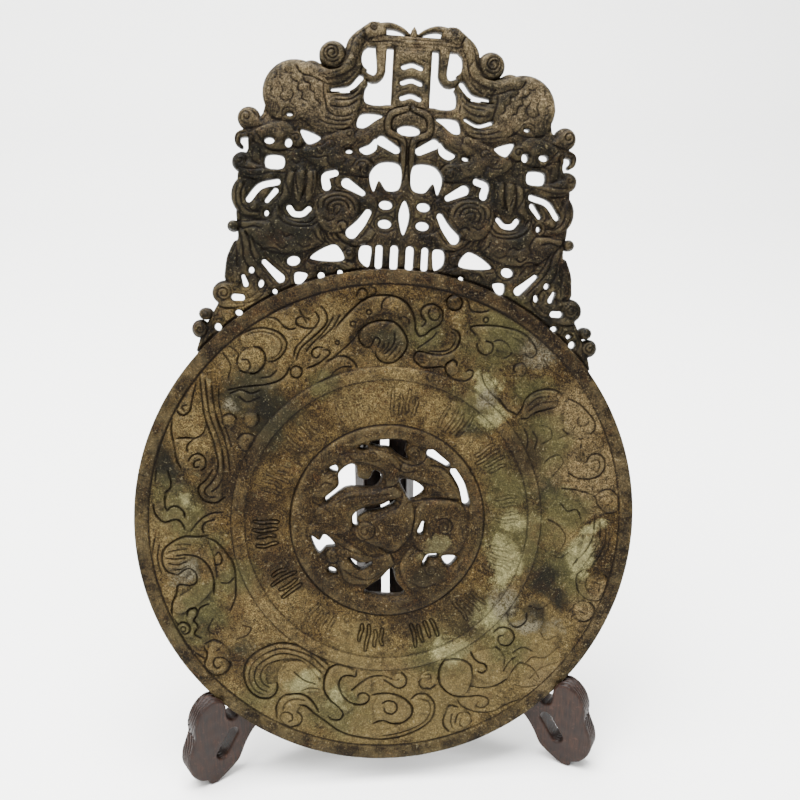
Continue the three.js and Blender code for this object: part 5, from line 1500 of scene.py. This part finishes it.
# Painted highlight: raised edges and tops are lightened in the colour
base = stained(base, times(proudShare, n.span(middle, 0.4, 0.6)), "raisedHighlight", 0.3)
# Darker in the cut lines and hollows: partly dirt in the cuts, partly painted shade in the recesses
dirtAndShadeShare = times(n.span(cutShare, 0.1, 0.7), n.span(middle, 0.25, 0.55, 0.75, 1.0))
base = stained(base, dirtAndShadeShare, "dirtAndShade", 0.85)
base = stained(base, n.span(wallShare, 0.2, 1.0), "wallStain", 0.35)
shader = n.add("ShaderNodeBsdfPrincipled")
n.join(base, shader.inputs["Base Color"])
gloss = n.sums("MULTIPLY_ADD", pitShare, 0.2, n.span(middle, 0.3, 0.7, 0.34, 0.55))
n.join(gloss, shader.inputs["Roughness"])
shader.inputs["Specular IOR Level"].default_value = stone["shine"]
lumps = n.sums("MULTIPLY_ADD", ragged, 0.6, n.sums("MULTIPLY_ADD", fine, 0.9, n.sums("MULTIPLY", grain, 0.35)))
bump = n.add("ShaderNodeBump")
bump.inputs["Strength"].default_value = stone["bumpStrength"]
bump.inputs["Distance"].default_value = stone["bumpMm"] / 1000
n.join(lumps, bump.inputs["Height"])
n.join(bump.outputs["Normal"], shader.inputs["Normal"])
end = n.add("ShaderNodeOutputMaterial")
n.join(shader.outputs["BSDF"], end.inputs["Surface"])
jadeDisc.data.materials.clear()
jadeDisc.data.materials.append(jadeStone)
print("jade ready")

# The folding stand

stand = {
    "footReach": 97.7,
    "barTop": 50.0,
    "arch": 27.0,
    "postWidth": 10.0,
    "postHeight": 178.0,
    "slotLength": 17.0,
    "slotWidth": 5.5,
    "edge": 1.1,
    "gridStep": 0.5,
    "quickStep": 0.9,
    "edgeRows": 20,
    "lineSpacing": 2.0,
    "lineDepth": 0.55,
    "knuckleRadius": 4.2,
    "knuckleHeight": 8.0,
    "knuckleStart": 20.0,
    "knuckleGap": 0.3,
    "dark": (15, 9, 7),
    "red": (46, 28, 19),
    "shade": (22, 14, 12),
    "worn": (84, 56, 42),
    "endLines": (8, 5, 4),
    "shine": 0.16,
    "bumpStrength": 0.4,
    "bumpMm": 0.3,
    "knuckleBehind": 3.5,
    "seatGap": 0.3,
    "seatSides": 180,
    "sharpDegrees": 42,
}
woodClouds = {"grain": (1100, 5, 0.65, 0.4), "patches": (70, 4, 0.6), "scuffs": (420, 4, 0.7)}

tip, barTop, arch = stand["footReach"], stand["barTop"], stand["arch"]
postWidth, postHeight = stand["postWidth"], stand["postHeight"]
frontProfile = [
    (-2.5, 0.2), (1.5, 0.2), (2.6, 2.6), (6.5, 4.4), (10, 8.5), (11.8, 14), (11.2, 20), (9, 25.5), (7.6, 29.5),
    (7.6, 34), (6, 39.5), (2.5, 44.3), (-2.5, 46.8), (-6.8, 45.6), (-8.9, 42), (-9.2, 37.5), (-10, 34.2), (-12, 33),
    (-14.2, 34), (-16, 38), (-19, 46),
]
footRun = smoothPath([(tip + x, y) for x, y in frontProfile], perSpan=4)
upperRun = smoothPath([
    (tip - 19, 46), (tip - 25, barTop), (45, barTop), (28, barTop + 3), (18, barTop + 12),
    (postWidth + 2, barTop + 22), (postWidth, barTop + 34), (postWidth, postHeight - 5),
], perSpan=4)
postRun = np.array([
    (postWidth - 2, postHeight - 1.2), (postWidth / 2, postHeight), (2, postHeight - 1.2), (0, postHeight - 5),
    (0, 0), (13, 0),
], float)
underRun = smoothPath([
    (13, 0), (15, 5), (21.5, arch * 0.44), (31.5, arch * 0.78), (47.5, arch), (63.5, arch),
    (tip - 24, 24), (tip - 18.5, 17), (tip - 15.8, 11.5), (tip - 14.2, 8.6), (tip - 12, 6.6), (tip - 8, 3.6),
    (tip - 2.5, 0.2),
], perSpan=4)
boardOutline = np.vstack([footRun[:-1], upperRun, postRun, underRun[1:-1]])
boardStep = stand["gridStep"]
boardSheet = Sheet((-2, -2), (tip + 14, postHeight + 2), boardStep)
place, outside = patchOutside(boardSheet, boardOutline, 400)
boardShape = np.full(boardSheet.x.shape, jade["farOutside"])
boardShape[place] = -outside
slotTurn = math.radians(-57)
slotHalf = (stand["slotLength"] - stand["slotWidth"]) / 2
slotMiddle = np.array([tip - 8.6, 20.4])
slotArm = np.array([math.cos(slotTurn), math.sin(slotTurn)]) * slotHalf
slotRun = np.array([slotMiddle - slotArm, slotMiddle + slotArm])
slotHalfWidth = stand["slotWidth"] / 2
place, outside = ribbonOutside(boardSheet, slotRun, slotHalfWidth, slotHalfWidth, 6)
boardShape[place] = np.minimum(boardShape[place], outside)
gradY, gradX = np.gradient(boardShape, boardStep)


def boardSample(values, xs, ys):
    ix = np.clip(np.round((xs - boardSheet.low[0]) / boardStep).astype(int), 0, boardSheet.countX - 1)
    iy = np.clip(np.round((ys - boardSheet.low[1]) / boardStep).astype(int), 0, boardSheet.countY - 1)
    return values[iy, ix]


def endWave(reach, high, across):
    across = across + pose["boardThicknessMm"] / 2
    upper = np.hypot((high - 40) * 0.8, across * 1.2)
    lower = np.hypot((high - 15) * 0.55, across * 1.15)
    nested = np.where(high > 29, upper, lower)
    wave = 0.5 + 0.5 * np.cos(nested / stand["lineSpacing"] * 2 * math.pi)
    return wave ** 2 * np.clip((reach - (tip - 7)) / 3, 0, 1) * np.clip((high - 3) / 2, 0, 1)


def endPattern(ring):
    cut = stand["lineDepth"] * endWave(ring[:, 0], ring[:, 1], ring[:, 2])
    gx, gy = boardSample(gradX, ring[:, 0], ring[:, 1]), boardSample(gradY, ring[:, 0], ring[:, 1])
    long = np.hypot(gx, gy) + 1e-6
    out = ring.copy()
    out[:, 0] += cut * gx / long
    out[:, 1] += cut * gy / long
    return out


half = pose["boardThicknessMm"] / 2
reach = np.clip(boardShape, 0, stand["edge"])
boardDrop = stand["edge"] - np.sqrt(np.clip(stand["edge"] ** 2 - (stand["edge"] - reach) ** 2, 0, None))
ripple = 0.05 * np.sin(boardSheet.y * 0.9 + 0.3 * boardSheet.x) * np.sin(boardSheet.x * 0.31)
faceHigh = {"height": half - boardDrop + ripple, "edge": np.full(boardShape.shape, half - stand["edge"])}
faceLow = {"height": -half + boardDrop + ripple, "edge": np.full(boardShape.shape, -half + stand["edge"])}
boardPlaces, boardFaces = slabMesh(boardSheet, boardShape, faceHigh, faceLow, stand["edgeRows"], endPattern)
print("board mesh", len(boardFaces))

# Knuckles of the fold, repeated up the hinge line


def knuckleTree():
    tree = bpy.data.node_groups.new("hingeKnuckles", "GeometryNodeTree")
    ports = tree.interface
    ports.new_socket("Geometry", in_out="OUTPUT", socket_type="NodeSocketGeometry")
    for name, kind, start in (
        ("Count", "NodeSocketInt", 2), ("Spacing", "NodeSocketFloat", 0.0166),
        ("Radius", "NodeSocketFloat", 0.0042), ("Height", "NodeSocketFloat", 0.008),
    ):
        port = ports.new_socket(name, in_out="INPUT", socket_type=kind)
        port.default_value = start
    ports.new_socket("Material", in_out="INPUT", socket_type="NodeSocketMaterial")
    given = tree.nodes.new("NodeGroupInput")
    made = tree.nodes.new("NodeGroupOutput")
    line = tree.nodes.new("GeometryNodeMeshLine")
    offset = tree.nodes.new("ShaderNodeCombineXYZ")
    barrel = tree.nodes.new("GeometryNodeMeshCylinder")
    copies = tree.nodes.new("GeometryNodeInstanceOnPoints")
    real = tree.nodes.new("GeometryNodeRealizeInstances")
    paint = tree.nodes.new("GeometryNodeSetMaterial")
    barrel.inputs["Vertices"].default_value = 48
    tie = tree.links.new
    tie(given.outputs["Count"], line.inputs["Count"])
    tie(given.outputs["Spacing"], offset.inputs["Z"])
    tie(offset.outputs[0], line.inputs["Offset"])
    tie(given.outputs["Radius"], barrel.inputs["Radius"])
    tie(given.outputs["Height"], barrel.inputs["Depth"])
    tie(line.outputs["Mesh"], copies.inputs["Points"])
    tie(barrel.outputs["Mesh"], copies.inputs["Instance"])
    tie(copies.outputs["Instances"], real.inputs["Geometry"])
    tie(real.outputs["Geometry"], paint.inputs["Geometry"])
    tie(given.outputs["Material"], paint.inputs["Material"])
    tie(paint.outputs["Geometry"], made.inputs["Geometry"])
    return tree


darkWood = bpy.data.materials.new("darkWood")
darkWood.use_nodes = True
n = Nodes(darkWood)
coords = n.add("ShaderNodeTexCoord").outputs["Object"]
stretch = n.add("ShaderNodeMapping")
n.join(coords, stretch.inputs["Vector"])
stretch.inputs["Scale"].default_value = (1.0, 1.0, 0.1)
grainWood = n.noise(stretch.outputs["Vector"], *woodClouds["grain"])
patches = n.noise(coords, *woodClouds["patches"])
scuffs = n.noise(coords, *woodClouds["scuffs"])
woodColour = n.blend(n.span(grainWood, 0.35, 0.65), colour(*stand["dark"]), colour(*stand["red"]))
woodColour = n.blend(n.span(patches, 0.42, 0.66, 0, 0.6), woodColour, colour(*stand["shade"]))
woodColour = n.blend(n.span(scuffs, 0.58, 0.72, 0, 0.35), woodColour, colour(*stand["worn"]))
woodColour = n.blend(times(n.stored("cut").outputs["Fac"], 0.85), woodColour, colour(*stand["endLines"]))
shader = n.add("ShaderNodeBsdfPrincipled")
n.join(woodColour, shader.inputs["Base Color"])
n.join(n.span(grainWood, 0.3, 0.7, 0.4, 0.6), shader.inputs["Roughness"])
shader.inputs["Specular IOR Level"].default_value = stand["shine"]
bump = n.add("ShaderNodeBump")
bump.inputs["Strength"].default_value = stand["bumpStrength"]
bump.inputs["Distance"].default_value = stand["bumpMm"] / 1000
n.join(grainWood, bump.inputs["Height"])
n.join(bump.outputs["Normal"], shader.inputs["Normal"])
end = n.add("ShaderNodeOutputMaterial")
n.join(shader.outputs["BSDF"], end.inputs["Surface"])

knuckleGroup = knuckleTree()


def knuckles(name, firstIndex, count, grow=0.0):
    thing = linked(name, bpy.data.meshes.new(name))
    spacing = 2 * (stand["knuckleHeight"] + stand["knuckleGap"])
    modifier = thing.modifiers.new("knuckles", "NODES")
    modifier.node_group = knuckleGroup
    values = {
        "Count": count,
        "Spacing": spacing / 1000,
        "Radius": (stand["knuckleRadius"] + grow) / 1000,
        "Height": (stand["knuckleHeight"] + 2 * grow) / 1000,
        "Material": darkWood,
    }
    for socket in knuckleGroup.interface.items_tree:
        if socket.item_type == "SOCKET" and socket.in_out == "INPUT":
            modifier[socket.identifier] = values[socket.name]
    baked(thing)
    low = stand["knuckleStart"] + firstIndex * (stand["knuckleHeight"] + stand["knuckleGap"])
    hingeY = pose["postDepthMm"] + stand["knuckleBehind"] + shiftY
    thing.data.transform(Matrix.Translation(Vector((0, hingeY / 1000, (low + stand["knuckleHeight"] / 2) / 1000))))
    return thing


def joinedWith(thing, other):
    both = bpy.data.meshes.new(thing.name)
    places, faces = [], []
    base = 0
    for piece in (thing, other):
        co = placesOf(piece.data)
        places.append(co)
        faces.extend([[base + v for v in p.vertices] for p in piece.data.polygons])
        base += len(co)
    both.from_pydata([tuple(v) for v in np.concatenate(places)], [], faces)
    old = thing.data
    thing.data = both
    bpy.data.meshes.remove(old)
    bpy.data.objects.remove(other)


def cutWith(thing, cutter):
    modifier = thing.modifiers.new("cut", "BOOLEAN")
    modifier.operation = "DIFFERENCE"
    modifier.solver = "EXACT"
    modifier.object = cutter
    baked(thing)
    bpy.data.objects.remove(cutter)


def discSeat(name):
    count = stand["seatSides"]
    gap = stand["seatGap"]
    radius = jade["discRadius"] + gap
    rings = []
    for depth in (gap, -jade["thickness"] - gap):
        angle = np.linspace(0, 2 * math.pi, count, endpoint=False)
        flatRing = np.stack([radius * np.cos(angle), radius * np.sin(angle), np.full(count, depth)], 1)
        rings.append(inStand(flatRing))
    mesh = bpy.data.meshes.new(name)
    faces = [list(range(count)), list(range(2 * count - 1, count - 1, -1))]
    for k in range(count):
        m = (k + 1) % count
        faces.append([k, count + k, count + m, m])
    mesh.from_pydata([tuple(v / 1000) for v in np.concatenate(rings)], [], faces)
    return linked(name, mesh)


along = np.array([math.cos(opening), -math.sin(opening), 0])
behind = np.array([math.sin(opening), math.cos(opening), 0])
corner = np.array([pose["postGapMm"] / 2, pose["postDepthMm"] + shiftY, 0])


def sideFrame(name, direction):
    co = corner + boardPlaces[:, :1] * along + boardPlaces[:, 1:2] * np.array([0, 0, 1.0])
    co = co + (half - boardPlaces[:, 2:]) * behind
    faces = boardFaces
    if direction < 0:
        co = co * np.array([-1.0, 1, 1])
        faces = faces[:, ::-1]
    thing = linked(name, meshFrom(name, co / 1000, faces))
    own, other = (0, 1) if direction > 0 else (1, 0)
    cutWith(thing, discSeat(name + "Seat"))
    cutWith(thing, knuckles(name + "Room", other, 2, 0.3))
    joinedWith(thing, knuckles(name + "Knuckles", own, 2))
    thing.data.polygons.foreach_set("use_smooth", np.ones(len(thing.data.polygons), bool))
    thing.data.set_sharp_from_angle(angle=math.radians(stand["sharpDegrees"]))
    thing.data.materials.clear()
    thing.data.materials.append(darkWood)
    where = placesOf(thing.data) * 1000 * np.array([direction, 1.0, 1.0]) - corner
    reach, depth = where @ along, where @ behind
    inner = boardSample(boardShape, reach, where[:, 2])
    engraved = endWave(reach, where[:, 2], half - depth) * (inner < 1.4) * (np.abs(half - depth) < half - 0.4)
    cutWood = thing.data.attributes.new("cut", "FLOAT", "POINT")
    cutWood.data.foreach_set("value", engraved.astype(np.float32))
    return thing


frameRight = sideFrame("frameRight", 1)
frameLeft = sideFrame("frameLeft", -1)
print("stand ready", len(frameRight.data.polygons))

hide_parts("jade_disc")
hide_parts("stand_frame_right")
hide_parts("stand_frame_left")
for thing, slotName in ((jadeDisc, "jade"), (frameRight, "dark_wood"), (frameLeft, "dark_wood")):
    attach(thing, "root")

# Floor and light

studio = {
    "floor": (249, 249, 247),
    "floorRough": 0.9,
    "halfWidth": 3.0,
    "sweep": ((-2.0, 0.0), (0.9, 0.0), (1.25, 0.03), (1.5, 0.14), (1.66, 0.36), (1.72, 0.7), (1.74, 2.6)),
    "sky": (0.95, 0.97, 1.0, 1),
    "world": 0.68,
    "key": 16.0,
    "fill": 4.0,
    "top": 240.0,
}

floorMaterial = bpy.data.materials.new("paleFloor")
floorMaterial.use_nodes = True
floorShader = floorMaterial.node_tree.nodes["Principled BSDF"]
floorShader.inputs["Base Color"].default_value = colour(*studio["floor"])
floorShader.inputs["Roughness"].default_value = studio["floorRough"]
sweep = studio["sweep"]
spots = [(side * studio["halfWidth"], y, z) for y, z in sweep for side in (-1, 1)]
floorMesh = bpy.data.meshes.new("floor")
floorMesh.from_pydata(spots, [], [[2 * k, 2 * k + 1, 2 * k + 3, 2 * k + 2] for k in range(len(sweep) - 1)])
floorMesh.polygons.foreach_set("use_smooth", np.ones(len(floorMesh.polygons), bool))
floorMesh.materials.append(floorMaterial)
floor = linked("floor", floorMesh)


def softLight(name, place, target, size, power, tint=(1, 1, 1)):
    data = bpy.data.lights.new(name, "AREA")
    data.shape = "SQUARE"
    data.size = size
    data.energy = power
    data.color = tint
    lamp = bpy.data.objects.new(name, data)
    bpy.context.scene.collection.objects.link(lamp)
    lamp.location = place
    lamp.rotation_mode = "QUATERNION"
    lamp.rotation_quaternion = (Vector(target) - Vector(place)).to_track_quat("-Z", "Y")


softLight("keyLight", (-1.0, -0.9, 1.5), (0, 0, 0.15), 0.9, studio["key"], (1.0, 0.985, 0.96))
softLight("fillLight", (1.3, -0.9, 0.8), (0, 0, 0.15), 1.0, studio["fill"], (0.97, 0.98, 1.0))
softLight("topLight", (-0.25, -0.05, 2.0), (0, 0.05, 0), 1.7, studio["top"])
world = bpy.data.worlds.new("studioWorld")
world.use_nodes = True
world.node_tree.nodes["Background"].inputs["Color"].default_value = studio["sky"]
world.node_tree.nodes["Background"].inputs["Strength"].default_value = studio["world"]
bpy.context.scene.world = world
print("studio ready")
